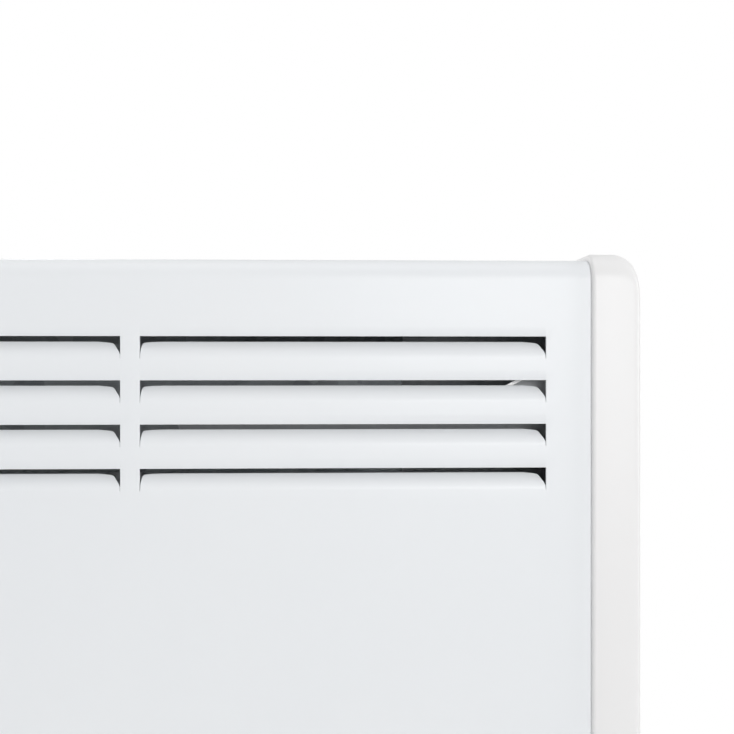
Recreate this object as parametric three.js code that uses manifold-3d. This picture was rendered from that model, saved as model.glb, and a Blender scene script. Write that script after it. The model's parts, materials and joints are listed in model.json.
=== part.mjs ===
// Wall panel convector heater: a louvred sheet-steel front on a slotted rear casing, closed by two moulded
// end caps, hung on a wall bracket that it can tilt forward from. Millimetres, +Z up, the front faces -Y, the
// wall is the plane y = 0, and the origin is the middle of the wall bracket's back face.
import * as THREE from "three";
import { mergeVertices } from "three/addons/utils/BufferGeometryUtils.js";
import Module from "manifold-3d";

const wasm = await Module();
wasm.setup();

// ---- Driving dimensions -------------------------------------------------------------------------

const fitGap = 0.3; // clearance between pieces that seat on, or pass through, each other
const partOverlap = 0.5; // how far joined forms run into each other

// body
const bodyHeight = 389;
const bodyDepth = 65;
const wallGap = 20;
const cornerRadius = 9;

// louvres
const louvreColumns = 4;
const louvreRows = 4;
const louvreLength = 127.6;
const louvreColumnGap = 6;
const louvreRowPitch = 13.8;
const louvreHeight = 7; // from the top of a slit down to its blade's root
const louvreDepth = 7;
const louvreCurve = 1.25; // power of the blade's bend, 1 for a flat blade
const louvreSlit = 1.7;
const louvreEndCut = 0.4;
const louvreCornerSag = 0.8;
const louvreCornerLength = 7;
const louvreTopInset = 24.6;
const louvreEndMargin = 14.4;

// sheet metal
const panelSheet = 1;
const casingSheet = 0.8;
const plateSheet = 1;
const panelLowerReturn = 13;
const casingUpperFlange = 30;
const casingFrontGap = 1; // behind the panel's bends
const plateFlange = 9;
const ribProud = 1.5;
const ribWidth = 9;
const ribSpacing = 64;
const ribEndMargin = 70;

// air slots in the underside
const slotPitch = 12;
const slotWidth = 3.8;
const slotLength = 34;

// end caps
const capWidth = 15.6;
const capWall = 1.7;
const capLap = 8;
const capEdgeFillet = 1.2;
const capCornerFillet = 7.5;
const capFaceFillet = 2.3;

// controls, on the outer face of the right end cap
const recessDepth = 2.5;
const recessWidth = 40;
const recessHeight = 114;
const recessBottom = 56;
const knobRise = 27;
const knobSkirtRadius = 14;
const knobGripRadius = 12;
const knobHeight = 9;
const knobSkirtHeight = 1.6;
const fluteRadius = 2.2;
const fluteDepth = 0.9;
const fluteCount = 10;
const shaftRadius = 3;
const shaftBelowTop = 2.5; // from the knob's top down to the shaft's end
const collarRadius = 5.2;
const nutFromCollar = 2.6;
const thermostatLength = 28;
const thermostatDepth = 30;
const thermostatHeight = 34;
const thermostatBore = 10;
const thermostatTabSpacing = 16;
const thermostatTabReach = 8;
const switchRise = 74;
const switchBezelLength = 22;
const switchBezelWidth = 15;
const switchBezelHeight = 1.6;
const switchBezelLedge = 1; // of the bezel, around the switch's body
const switchBodyDepth = 18;
const switchTabSpacing = 10;
const switchTabReach = 7;
const rockerLength = 16.8;
const rockerWidth = 9.6;
const rockerRestTilt = 10;
const rockerAxisDepth = 0.6;
const rockerPocketDepth = 9;
const rockerLift = 3.4;
const rockerDip = 2;
const rockerUnder = 4;
const lensRise = 96;
const lensRadius = 3;
const lensStemRadius = 2.5;
const tabSheet = 0.8;
const tabWidth = 5;

// heating element
const elementRise = 92;
const elementMargin = 62;
const sheathRadius = 4.5;
const finPitch = 16;
const finThickness = 0.7;
const finDepth = 32;
const finHeight = 58;
const endPinRadius = 1.5;
const endPinLength = 9;
const rodPastBracket = 6;
const bushRadius = 8;
const bushInward = 7;
const bushFlangeRadius = 10.5;
const bushFlangeHeight = 3;
const bracketPastFins = 14;
const bracketFront = 20; // ahead of the rod
const bracketHalf = 30; // above and below the rod
const bracketFoot = 14;

// air path
const shieldSheet = 0.6;
const shieldStandoff = 6;
const shieldBottom = 34;
const shieldLip = 9;
const shieldBelowLouvres = 14;
const shieldToBracket = 8;
const deflectorAboveShield = 5;
const deflectorBend = 34;
const deflectorShort = 0.2; // radians that its bend stops short of level
const cutOutAboveFins = 26;
const cutOutRadius = 8.5;
const cutOutHeight = 8;
const cutOutFlange = 12;

// wiring
const terminalPoles = 3;
const terminalPole = 8;
const terminalRise = 26;
const terminalHeight = 18;
const terminalDepth = 13;
const terminalWellRadius = 2.6;
const terminalWellDepth = 5;
const terminalFromGrommet = 4;
const earthScrewRise = 48;
const earthWasher = 1.6;
const grommetNeckRadius = 5.5;
const grommetFlange = 2.5;
const leadRadius = 1.3;

// hanging
const pivotRise = 46;
const pivotBehind = 8;
const pinRadius = 2.5;
const bracketSheet = 1.5;
const uprightSpacing = 300;
const uprightWidth = 26;
const uprightAboveClip = 13;
const uprightBelowEar = 4;
const railHeight = 44;
const railLip = 5.4;
const flangeDepth = 9;
const earRadius = 7;
const hangerSpan = 14;
const hangerHalf = 16;
const hangerBelowPin = 14;
const hangerAbovePin = 22;
const cheekSheet = 1.5;
const cheekAroundPin = 3.5;
const pinPastUpright = 2;
const tongueRise = 334;
const tongueWidth = 16;
const tongueSheet = 1.5;
const tongueReach = 15;
const tongueBase = 22;
const clipSheet = 0.8;
const clipPastTongue = 2;
const clipBelly = 2.4;
const rivetRadius = 1.6;

// fasteners
const capScrewMargin = 36;
const panelScrewMargin = 78;
const panelScrewInset = 5;
const screwPast = 2; // of a shank, behind the sheet that it holds
const screwRadius = 1.75;
const screwHeadRadius = 3.5;
const screwHeadHeight = 2.2;
const wallHoleRadius = 2.4;
const uprightHoleRise = 70;
const railHoleSpacing = 160;

// ---- Worked-out places, in the heater's own frame: back of the caps at y = 0, bottom at z = 0 ---

const capProud = capWall + fitGap;
const casingInset = capProud + panelSheet + fitGap;
const plateInset = casingInset + casingSheet + fitGap;
const louvrePitch = louvreLength + louvreColumnGap;
const panelLength = louvreColumns * louvrePitch - louvreColumnGap + 2 * louvreEndMargin;
const seamX = panelLength / 2;
const sheetEndX = seamX + capLap;
const capFaceX = seamX + capWidth;
const panelFrontY = -bodyDepth + capProud;
const panelTopZ = bodyHeight - capProud;
const casingBackY = -casingInset;
const casingInnerY = casingBackY - casingSheet;
const midY = -bodyDepth / 2;
const plateWebX = sheetEndX - plateSheet;
const recessFloorX = capFaceX - recessDepth;
const knobZ = recessBottom + knobRise;
const switchZ = recessBottom + switchRise;
const lensZ = recessBottom + lensRise;
const elementHalf = seamX - elementMargin;
const bracketX = elementHalf + bracketPastFins;
const rodEndX = bracketX + rodPastBracket;

// ---- Geometry helpers ---------------------------------------------------------------------------

// A closed three.js geometry as a solid that can be joined and cut.
function solid(geometry) {
  const bare = geometry.index ? geometry.toNonIndexed() : geometry.clone();
  bare.deleteAttribute("normal");
  bare.deleteAttribute("uv");
  const merged = mergeVertices(bare, 1e-4);
  return new wasm.Manifold(
    new wasm.Mesh({
      numProp: 3,
      vertProperties: merged.attributes.position.array,
      triVerts: new Uint32Array(merged.index.array),
    }),
  );
}

function geometryOf(made) {
  const mesh = made.getMesh();
  const geometry = new THREE.BufferGeometry();
  geometry.setAttribute("position", new THREE.BufferAttribute(mesh.vertProperties, 3));
  geometry.setIndex(new THREE.BufferAttribute(mesh.triVerts, 1));
  const faceted = geometry.toNonIndexed();
  faceted.computeVertexNormals();
  return faceted;
}

const join = (first, ...others) => others.reduce((made, next) => made.add(next), first);
const cut = (first, ...others) => others.reduce((made, next) => made.subtract(next), first);

// A box between two corners.
function block(low, high) {
  const size = high.map((value, k) => value - low[k]);
  const middle = high.map((value, k) => (value + low[k]) / 2);
  return solid(new THREE.BoxGeometry(...size).translate(...middle));
}

// A shape drawn in (y, z), extruded along X from one place to another.
function extrudeX(shape, fromX, toX, curveSegments = 3) {
  const made = new THREE.ExtrudeGeometry(shape, { depth: toX - fromX, bevelEnabled: false, curveSegments });
  const turn = new THREE.Matrix4().set(0, 0, 1, fromX, 1, 0, 0, 0, 0, 1, 0, 0, 0, 0, 0, 1);
  return solid(made.applyMatrix4(turn));
}

// A shape drawn in (x, z), extruded along Y from one place to another.
function extrudeY(shape, fromY, toY, curveSegments = 3) {
  const made = new THREE.ExtrudeGeometry(shape, { depth: toY - fromY, bevelEnabled: false, curveSegments });
  const turn = new THREE.Matrix4().set(1, 0, 0, 0, 0, 0, -1, toY, 0, 1, 0, 0, 0, 0, 0, 1);
  return solid(made.applyMatrix4(turn));
}

// A profile of [radius, height] points turned about an axis, "X", "Y" or "Z", from a point on it.
function turned(profile, axis, at, segments = 20) {
  const made = new THREE.LatheGeometry(
    profile.map(([radius, height]) => new THREE.Vector2(radius, height)),
    segments,
  );
  if (axis === "X") made.rotateZ(-Math.PI / 2);
  if (axis === "Z") made.rotateX(Math.PI / 2);
  return solid(made.translate(...at));
}

// A plain round bar along an axis.
function bar(radius, length, axis, at, segments = 16) {
  return turned([[0, 0], [radius, 0], [radius, length], [0, length]], axis, at, segments);
}

// A rectangle with round corners, between two corners of its plane.
function roundedRectangle(low, high, radius) {
  const r = Math.max(0.05, Math.min(radius, (high[0] - low[0]) / 2 - 0.01, (high[1] - low[1]) / 2 - 0.01));
  const shape = new THREE.Shape();
  shape.moveTo(low[0] + r, low[1]);
  shape.lineTo(high[0] - r, low[1]);
  shape.absarc(high[0] - r, low[1] + r, r, -Math.PI / 2, 0, false);
  shape.lineTo(high[0], high[1] - r);
  shape.absarc(high[0] - r, high[1] - r, r, 0, Math.PI / 2, false);
  shape.lineTo(low[0] + r, high[1]);
  shape.absarc(low[0] + r, high[1] - r, r, Math.PI / 2, Math.PI, false);
  shape.lineTo(low[0], low[1] + r);
  shape.absarc(low[0] + r, low[1] + r, r, Math.PI, Math.PI * 1.5, false);
  return shape;
}

// The body's end section, set in from the caps' outline, drawn in (y, z).
function bodySection(inset) {
  return roundedRectangle([-bodyDepth + inset, inset], [-inset, bodyHeight - inset], cornerRadius - inset);
}

// Folded sheet: the outline of a path of points with one thickness to its left.
function folded(points, thickness) {
  const offset = points.map((point, i) => {
    const before = points[Math.max(i - 1, 0)];
    const after = points[Math.min(i + 1, points.length - 1)];
    const into = point.clone().sub(before);
    const out = after.clone().sub(point);
    const a = (into.lengthSq() ? into : out).clone().normalize();
    const b = (out.lengthSq() ? out : into).clone().normalize();
    const along = a.clone().add(b).normalize();
    const reach = thickness / Math.max(0.5, along.dot(a));
    return new THREE.Vector2(point.x - along.y * reach, point.y + along.x * reach);
  });
  return new THREE.Shape([...points, ...offset.reverse()]);
}

// ---- Materials and the scene graph --------------------------------------------------------------

const finish = {
  panelPaint: { color: 0xeceef1, roughness: 0.42, metalness: 0 },
  capPlastic: { color: 0xefefef, roughness: 0.38, metalness: 0 },
  backPaint: { color: 0xd9dcdf, roughness: 0.55, metalness: 0 },
  zinc: { color: 0x9ea4a8, roughness: 0.45, metalness: 0.9 },
  aluminium: { color: 0xc3c6c8, roughness: 0.35, metalness: 1 },
  steel: { color: 0xb4b7ba, roughness: 0.3, metalness: 1 },
  ceramic: { color: 0xe8e4da, roughness: 0.5, metalness: 0 },
  darkPlastic: { color: 0x2b2d30, roughness: 0.5, metalness: 0 },
  whitePlastic: { color: 0xe6e6e6, roughness: 0.4, metalness: 0 },
  rubber: { color: 0x26282a, roughness: 0.8, metalness: 0 },
  lens: { color: 0xc8421e, roughness: 0.15, metalness: 0 },
  redLead: { color: 0x8c2a22, roughness: 0.6, metalness: 0 },
  blueLead: { color: 0x2b4a86, roughness: 0.6, metalness: 0 },
};
for (const [name, settings] of Object.entries(finish)) {
  finish[name] = () => new THREE.MeshStandardMaterial(settings);
}

function addPiece(group, name, made, material, at = [0, 0, 0]) {
  const mesh = new THREE.Mesh(geometryOf(made), material());
  mesh.name = name;
  mesh.position.set(...at);
  group.add(mesh);
  return mesh;
}

const product = new THREE.Group();
const wallMount = new THREE.Group();
const heater = new THREE.Group();
heater.position.set(0, -wallGap, -bodyHeight / 2);
product.add(wallMount, heater);

// Both ends of the heater, as [name, side].
const ends = [["left", -1], ["right", 1]];

// ---- Front panel with its lanced louvres --------------------------------------------------------

// One louvre blade: the sheet below a slit, pushed in so that its free top edge stands behind the slit. It is
// a grid of points, steeper towards its lip, with both ends cut free.
function louvreBlade(leftX, slitZ) {
  const acrossX = louvreLength - 2 * louvreEndCut;
  const cornerShares = [0, 0.45, 1].map((share) => (share * louvreCornerLength) / acrossX);
  const across = [...cornerShares, ...cornerShares.map((share) => 1 - share).reverse()];
  const rootZ = slitZ - louvreHeight;
  const risePoints = [0, 0.2, 0.56, 1];
  const bladeRise = louvreHeight - louvreSlit;
  const outer = [];
  const inner = [];
  for (const share of across) {
    const x = leftX + louvreEndCut + share * acrossX;
    const fromEnd = Math.min(share, 1 - share) * acrossX;
    const sag = louvreCornerSag * Math.max(0, 1 - fromEnd / louvreCornerLength) ** 2;
    const outerColumn = [new THREE.Vector3(x, panelFrontY, rootZ - partOverlap)];
    const innerColumn = [new THREE.Vector3(x, panelFrontY + panelSheet, rootZ - partOverlap)];
    for (const v of risePoints) {
      const depth = louvreDepth * v ** louvreCurve;
      const slope = (louvreDepth * louvreCurve * v ** (louvreCurve - 1)) / bladeRise;
      const length = Math.hypot(1, slope);
      const y = panelFrontY + depth;
      const z = rootZ + bladeRise * v - sag * v ** 2;
      outerColumn.push(new THREE.Vector3(x, y, z));
      innerColumn.push(new THREE.Vector3(x, y + panelSheet / length, z - (panelSheet * slope) / length));
    }
    outer.push(outerColumn);
    inner.push(innerColumn);
  }
  return solid(closedGrid(outer, inner));
}

// A closed plate between two grids of points of the same size, outer facing -Y and inner facing +Y.
function closedGrid(outer, inner) {
  const positions = [];
  const quad = (a, b, c, d) => positions.push(...[a, b, c, a, c, d].flatMap((p) => p.toArray()));
  const columns = outer.length - 1;
  const rows = outer[0].length - 1;
  for (let i = 0; i < columns; i++) {
    for (let j = 0; j < rows; j++) {
      quad(outer[i][j], outer[i + 1][j], outer[i + 1][j + 1], outer[i][j + 1]);
      quad(inner[i][j], inner[i][j + 1], inner[i + 1][j + 1], inner[i + 1][j]);
    }
    quad(outer[i][0], inner[i][0], inner[i + 1][0], outer[i + 1][0]);
    quad(outer[i][rows], outer[i + 1][rows], inner[i + 1][rows], inner[i][rows]);
  }
  for (let j = 0; j < rows; j++) {
    quad(outer[0][j], outer[0][j + 1], inner[0][j + 1], inner[0][j]);
    quad(outer[columns][j], inner[columns][j], inner[columns][j + 1], outer[columns][j + 1]);
  }
  const geometry = new THREE.BufferGeometry();
  return geometry.setAttribute("position", new THREE.Float32BufferAttribute(positions, 3));
}

const louvrePlaces = [];
for (let column = 0; column < louvreColumns; column++) {
  for (let row = 0; row < louvreRows; row++) {
    louvrePlaces.push([
      -seamX + louvreEndMargin + column * louvrePitch,
      panelTopZ - louvreTopInset - row * louvreRowPitch,
    ]);
  }
}

const panelScrewXs = [-1, 0, 1].map((side) => side * (seamX - panelScrewMargin));
const panelScrewY = panelFrontY + panelLowerReturn - panelScrewInset;

function frontPanel() {
  const bend = cornerRadius - capProud;
  const path = new THREE.Path();
  path.moveTo(-casingInset - cornerRadius, panelTopZ);
  path.lineTo(panelFrontY + bend, panelTopZ);
  path.absarc(panelFrontY + bend, panelTopZ - bend, bend, Math.PI / 2, Math.PI, false);
  path.lineTo(panelFrontY, capProud + bend);
  path.absarc(panelFrontY + bend, capProud + bend, bend, Math.PI, Math.PI * 1.5, false);
  path.lineTo(panelFrontY + panelLowerReturn, capProud);
  const sheet = extrudeX(folded(path.getPoints(4), panelSheet), -sheetEndX, sheetEndX);
  const windows = louvrePlaces.map(([leftX, slitZ]) =>
    block(
      [leftX, panelFrontY - 1, slitZ - louvreHeight],
      [leftX + louvreLength, panelFrontY + panelSheet + 1, slitZ],
    ),
  );
  const blades = louvrePlaces.map(([leftX, slitZ]) => louvreBlade(leftX, slitZ));
  const screwHoles = panelScrewXs.map((x) =>
    bar(screwRadius + fitGap, panelSheet + 2, "Z", [x, panelScrewY, capProud - 1], 12),
  );
  return cut(join(cut(sheet, ...windows), ...blades), ...screwHoles);
}

addPiece(heater, "front_panel", frontPanel(), finish.panelPaint);

// ---- Rear casing: a tray with a slotted underside and two stiffening ribs pressed out of its back 

// What sits in the wiring space between the element's right bracket and the end plate.
const grommetX = (bracketX + plateWebX) / 2;
const terminalX = grommetX + terminalFromGrommet;

const capScrewX = seamX + (capLap + plateSheet) / 2;
const capScrewZs = [["lower", capScrewMargin], ["upper", bodyHeight - capScrewMargin]];

function rearCasing() {
  const bend = cornerRadius - casingInset;
  const topZ = bodyHeight - casingInset;
  const frontEdgeY = panelFrontY + cornerRadius - capProud + casingFrontGap;
  const path = new THREE.Path();
  path.moveTo(frontEdgeY, casingInset);
  path.lineTo(casingBackY - bend, casingInset);
  path.absarc(casingBackY - bend, casingInset + bend, bend, -Math.PI / 2, 0, false);
  path.lineTo(casingBackY, topZ - bend);
  path.absarc(casingBackY - bend, topZ - bend, bend, 0, Math.PI / 2, false);
  path.lineTo(casingBackY - casingUpperFlange, topZ);
  let made = extrudeX(folded(path.getPoints(2), casingSheet), -sheetEndX, sheetEndX);
  const slotCount = 2 * Math.floor(elementHalf / slotPitch) + 1;
  const slots = Array.from({ length: slotCount }, (_, i) => {
    const x = (i - (slotCount - 1) / 2) * slotPitch;
    return block(
      [x - slotWidth / 2, midY - slotLength / 2, casingInset - 1],
      [x + slotWidth / 2, midY + slotLength / 2, casingInset + casingSheet + 1],
    );
  });
  const ribs = [-1, 1].map((side) => {
    const x = (side * ribSpacing) / 2;
    const low = [x - ribWidth / 2, ribEndMargin];
    const high = [x + ribWidth / 2, bodyHeight - ribEndMargin];
    const rib = roundedRectangle(low, high, ribWidth / 2);
    return extrudeY(rib, casingBackY - casingSheet / 2, casingBackY + ribProud);
  });
  const capHoles = ends.flatMap(([, side]) =>
    capScrewZs.map(([, z]) =>
      bar(screwRadius + fitGap, 4, "Y", [side * capScrewX, casingInnerY - 1, z], 12),
    ),
  );
  const panelHoles = panelScrewXs.map((x) =>
    bar(screwRadius + fitGap, 4, "Z", [x, panelScrewY, casingInset - 1], 12),
  );
  const grommetHole = bar(grommetNeckRadius + fitGap, 4, "Z", [grommetX, midY, casingInset - 1], 16);
  const earthHole = bar(screwRadius + fitGap, 4, "Y", [terminalX, casingInnerY - 1, earthScrewRise], 12);
  made = join(made, ...ribs);
  return cut(made, ...slots, ...capHoles, ...panelHoles, grommetHole, earthHole);
}

addPiece(heater, "rear_casing", rearCasing(), finish.backPaint);

// ---- End caps: moulded shells, rounded tightly along the front and generously at the top and bottom 

// The cap's form between the seam and its outer face, set in by a wall. The rounding of its outer edge
// changes along the outline, from the face fillet on front and back to the corner fillet on top and bottom.
function capForm(inset, fromX, toX, edgeFillet) {
  const outline = bodySection(inset).getPoints(3);
  const count = outline.length;
  const outline3 = outline.map((point, i) => {
    const before = outline[(i + count - 1) % count];
    const after = outline[(i + 1) % count];
    const along = after.clone().sub(before).normalize();
    const upward = Math.abs(along.x);
    const fillet = THREE.MathUtils.lerp(capFaceFillet, capCornerFillet, upward ** 2);
    return { point, inward: new THREE.Vector2(-along.y, along.x), fillet: Math.max(0.3, fillet - inset) };
  });
  const ring = (place) => outline3.map((rim) => {
    const { x, set } = place(rim);
    return new THREE.Vector3(x, rim.point.x + rim.inward.x * set, rim.point.y + rim.inward.y * set);
  });
  const rings = [];
  if (edgeFillet) {
    for (const turn of [0, 0.5, 1]) {
      const angle = (turn * Math.PI) / 2;
      rings.push(ring(() => ({
        x: fromX + edgeFillet * (1 - Math.cos(angle)),
        set: edgeFillet * (1 - Math.sin(angle)),
      })));
    }
  } else {
    rings.push(ring(() => ({ x: fromX, set: 0 })));
  }
  for (const turn of edgeFillet ? [0, 0.25, 0.5, 0.75, 1] : [0, 0.5, 1]) {
    const angle = (turn * Math.PI) / 2;
    rings.push(ring((rim) => ({
      x: toX - rim.fillet * (1 - Math.sin(angle)),
      set: rim.fillet * (1 - Math.cos(angle)),
    })));
  }
  return solid(lofted(rings));
}

// A closed skin over rings of the same count of points, with a flat fan on its first and last ring.
function lofted(rings) {
  const positions = [];
  const face = (...corners) => positions.push(...corners.flatMap((p) => p.toArray()));
  const count = rings[0].length;
  for (let r = 0; r + 1 < rings.length; r++) {
    for (let i = 0; i < count; i++) {
      const j = (i + 1) % count;
      const [a, b, c, d] = [rings[r][i], rings[r][j], rings[r + 1][j], rings[r + 1][i]];
      face(a, b, c);
      face(a, c, d);
    }
  }
  for (const [ring, flip] of [[rings[0], true], [rings[rings.length - 1], false]]) {
    const middle = ring.reduce((sum, p) => sum.add(p), new THREE.Vector3()).divideScalar(count);
    for (let i = 0; i < count; i++) {
      const j = (i + 1) % count;
      if (flip) face(middle, ring[j], ring[i]);
      else face(middle, ring[i], ring[j]);
    }
  }
  const geometry = new THREE.BufferGeometry();
  return geometry.setAttribute("position", new THREE.Float32BufferAttribute(positions, 3));
}

function recessShape(grow) {
  return roundedRectangle(
    [midY - recessWidth / 2 - grow, recessBottom - grow],
    [midY + recessWidth / 2 + grow, recessBottom + recessHeight + grow],
    recessWidth / 2 + grow,
  );
}

function endCap(withControls) {
  let made = cut(
    capForm(0, seamX, capFaceX, capEdgeFillet),
    capForm(capWall, seamX - 1, capFaceX - capWall, 0),
  );
  const screwHoles = capScrewZs.map(([, z]) =>
    bar(screwRadius + fitGap, capWall + 2, "Y", [capScrewX, -capWall - 1, z], 12),
  );
  made = cut(made, ...screwHoles);
  if (!withControls) return made;
  const pan = extrudeX(recessShape(capWall), recessFloorX - capWall, capFaceX - capWall / 2, 5);
  const recess = extrudeX(recessShape(0), recessFloorX, capFaceX + 1, 5);
  const holeX = recessFloorX - capWall - 1;
  const deep = capFaceX - holeX;
  const knobHole = bar(collarRadius + 2 * fitGap, deep, "X", [holeX, midY, knobZ], 16);
  const lensHole = bar(lensStemRadius + fitGap, deep, "X", [holeX, midY, lensZ], 12);
  return cut(join(made, pan), recess, knobHole, lensHole, switchPassage(holeX, capFaceX));
}

// The opening that the switch's body passes through.
function switchPassage(fromX, toX) {
  const across = switchBezelWidth / 2 - switchBezelLedge + fitGap;
  const up = switchBezelLength / 2 - switchBezelLedge + fitGap;
  return block([fromX, midY - across, switchZ - up], [toX, midY + across, switchZ + up]);
}

const mirrored = (made) => made.mirror([1, 0, 0]);

addPiece(heater, "right_end_cap", endCap(true), finish.capPlastic);
addPiece(heater, "left_end_cap", mirrored(endCap(false)), finish.capPlastic);

// ---- Steel end plates: shallow trays that close the sheet body inside the caps ------------------

function endPlate(withControls) {
  const edgeX = sheetEndX - plateFlange;
  const outer = extrudeX(bodySection(plateInset), edgeX, sheetEndX, 2);
  const hollow = extrudeX(bodySection(plateInset + plateSheet), edgeX - 1, plateWebX, 2);
  let made = cut(outer, hollow);
  const screwHoles = capScrewZs.map(([, z]) =>
    bar(screwRadius + fitGap, plateSheet + 2, "Y", [capScrewX, -plateInset - plateSheet - 1, z], 12),
  );
  made = cut(made, ...screwHoles);
  if (!withControls) return made;
  const collarHole = bar(collarRadius + fitGap, plateSheet + 2, "X", [plateWebX - 1, midY, knobZ], 16);
  const lensHole = bar(lensRadius + fitGap, plateSheet + 2, "X", [plateWebX - 1, midY, lensZ], 12);
  return cut(made, collarHole, lensHole, switchPassage(plateWebX - 1, sheetEndX + 1));
}

addPiece(heater, "right_end_plate", endPlate(true), finish.zinc);
addPiece(heater, "left_end_plate", mirrored(endPlate(false)), finish.zinc);

// ---- Screws -------------------------------------------------------------------------------------

// A pan-head screw with its seat at its origin, its shank along -Z and a cross recess in its head. A washer,
// where it has one, is part of its head.
function screw(shankLength, washerRadius = screwHeadRadius) {
  const washerHeight = 0.5;
  const dome = [
    [0, -shankLength],
    [screwRadius, -shankLength * 0.75],
    [screwRadius, 0],
    [washerRadius, 0],
    [washerRadius, washerHeight],
    [screwHeadRadius - 0.01, washerHeight],
    [screwHeadRadius, screwHeadHeight * 0.55],
    [screwHeadRadius * 0.72, screwHeadHeight],
    [0, screwHeadHeight],
  ];
  const slotHalf = 0.45;
  const reach = screwHeadRadius * 0.6;
  const floor = screwHeadHeight * 0.4;
  const cross = join(
    block([-reach, -slotHalf, floor], [reach, slotHalf, screwHeadHeight + 1]),
    block([-slotHalf, -reach, floor], [slotHalf, reach, screwHeadHeight + 1]),
  );
  return cut(turned(dome, "Z", [0, 0, 0], 8), cross);
}

const capScrew = screw(plateInset + plateSheet + screwPast);
for (const [end, side] of ends) {
  for (const [level, z] of capScrewZs) {
    const name = `cap_screw_${end}_${level}`;
    const mesh = addPiece(heater, name, capScrew, finish.steel, [side * capScrewX, fitGap, z]);
    mesh.rotation.x = -Math.PI / 2;
  }
}

const panelScrew = screw(casingInset + casingSheet + screwPast - capProud);
["left", "middle", "right"].forEach((place, i) => {
  const at = [panelScrewXs[i], panelScrewY, capProud - fitGap];
  addPiece(heater, `panel_screw_${place}`, panelScrew, finish.steel, at).rotation.x = Math.PI;
});

// ---- Heating element: a sheathed rod through pressed-on aluminium fins --------------------------

function heatingElement() {
  const pinEndX = rodEndX + endPinLength;
  const rod = turned(
    [
      [0, -pinEndX],
      [endPinRadius, -pinEndX],
      [endPinRadius, -rodEndX],
      [sheathRadius, -rodEndX],
      [sheathRadius, rodEndX],
      [endPinRadius, rodEndX],
      [endPinRadius, pinEndX],
      [0, pinEndX],
    ],
    "X",
    [0, 0, 0],
    8,
  );
  const perSide = Math.floor(elementHalf / finPitch);
  const fins = [];
  for (let i = -perSide; i <= perSide; i++) {
    const x = i * finPitch;
    fins.push(block(
      [x - finThickness / 2, -finDepth / 2, -finHeight / 2],
      [x + finThickness / 2, finDepth / 2, finHeight / 2],
    ));
  }
  return join(rod, ...fins);
}

addPiece(heater, "heating_element", heatingElement(), finish.aluminium, [0, midY, elementRise]);

// Brackets stand on the casing's back and carry the rod's ends in flanged ceramic bushes.
function elementBracket() {
  const seatY = casingInnerY - fitGap;
  const lowZ = elementRise - bracketHalf;
  const highZ = elementRise + bracketHalf;
  const web = extrudeX(
    roundedRectangle([midY - bracketFront, lowZ], [seatY, highZ], 4),
    bracketX,
    bracketX + plateSheet,
    2,
  );
  const foot = block([bracketX, seatY - plateSheet, lowZ], [bracketX + bracketFoot, seatY, highZ]);
  const hole = bar(bushRadius + fitGap, plateSheet + 2, "X", [bracketX - 1, midY, elementRise], 16);
  return cut(join(web, foot), hole);
}

function elementBush() {
  const bore = sheathRadius + fitGap;
  const flangeX = plateSheet + fitGap;
  const profile = [
    [bore, -bushInward],
    [bushRadius, -bushInward],
    [bushRadius, flangeX],
    [bushFlangeRadius, flangeX],
    [bushFlangeRadius, flangeX + bushFlangeHeight],
    [bore, flangeX + bushFlangeHeight],
    [bore, -bushInward],
  ];
  return turned(profile, "X", [bracketX, midY, elementRise], 12);
}

const bracketForm = elementBracket();
const bushForm = elementBush();
addPiece(heater, "element_bracket_right", bracketForm, finish.zinc);
addPiece(heater, "element_bracket_left", mirrored(bracketForm), finish.zinc);
addPiece(heater, "element_bush_right", bushForm, finish.ceramic);
addPiece(heater, "element_bush_left", mirrored(bushForm), finish.ceramic);

// ---- Air path: heat shield behind the element and a curved deflector behind the louvres ---------

const louvreFootZ = panelTopZ - louvreTopInset - (louvreRows - 1) * louvreRowPitch - louvreHeight;
const shieldTop = louvreFootZ - shieldBelowLouvres;
const shieldHalf = bracketX - shieldToBracket;
const shieldY = casingInnerY - fitGap - shieldStandoff;

function heatShield() {
  const seatY = casingInnerY - fitGap;
  const path = new THREE.Path();
  path.moveTo(seatY, shieldBottom - shieldLip);
  path.lineTo(seatY, shieldBottom);
  path.lineTo(shieldY, shieldBottom);
  path.lineTo(shieldY, shieldTop);
  path.lineTo(seatY, shieldTop);
  path.lineTo(seatY, shieldTop + shieldLip);
  return extrudeX(folded(path.getPoints(), shieldSheet), -shieldHalf, shieldHalf);
}

// The deflector's foot stands on the casing above the shield, and its back bends forward in an arc to end
// under the panel's upper return.
function airDeflector() {
  const seatY = casingInnerY - fitGap;
  const reachZ = panelTopZ - panelSheet - casingSheet - 4 * fitGap;
  const arcZ = reachZ - deflectorBend;
  const path = new THREE.Path();
  path.moveTo(seatY, shieldTop + shieldLip + deflectorAboveShield);
  path.lineTo(seatY, arcZ);
  path.absarc(seatY - deflectorBend, arcZ, deflectorBend, 0, Math.PI / 2 - deflectorShort, false);
  return extrudeX(folded(path.getPoints(4), shieldSheet), -shieldHalf, shieldHalf);
}

addPiece(heater, "heat_shield", heatShield(), finish.zinc);
addPiece(heater, "air_deflector", airDeflector(), finish.zinc);

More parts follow.
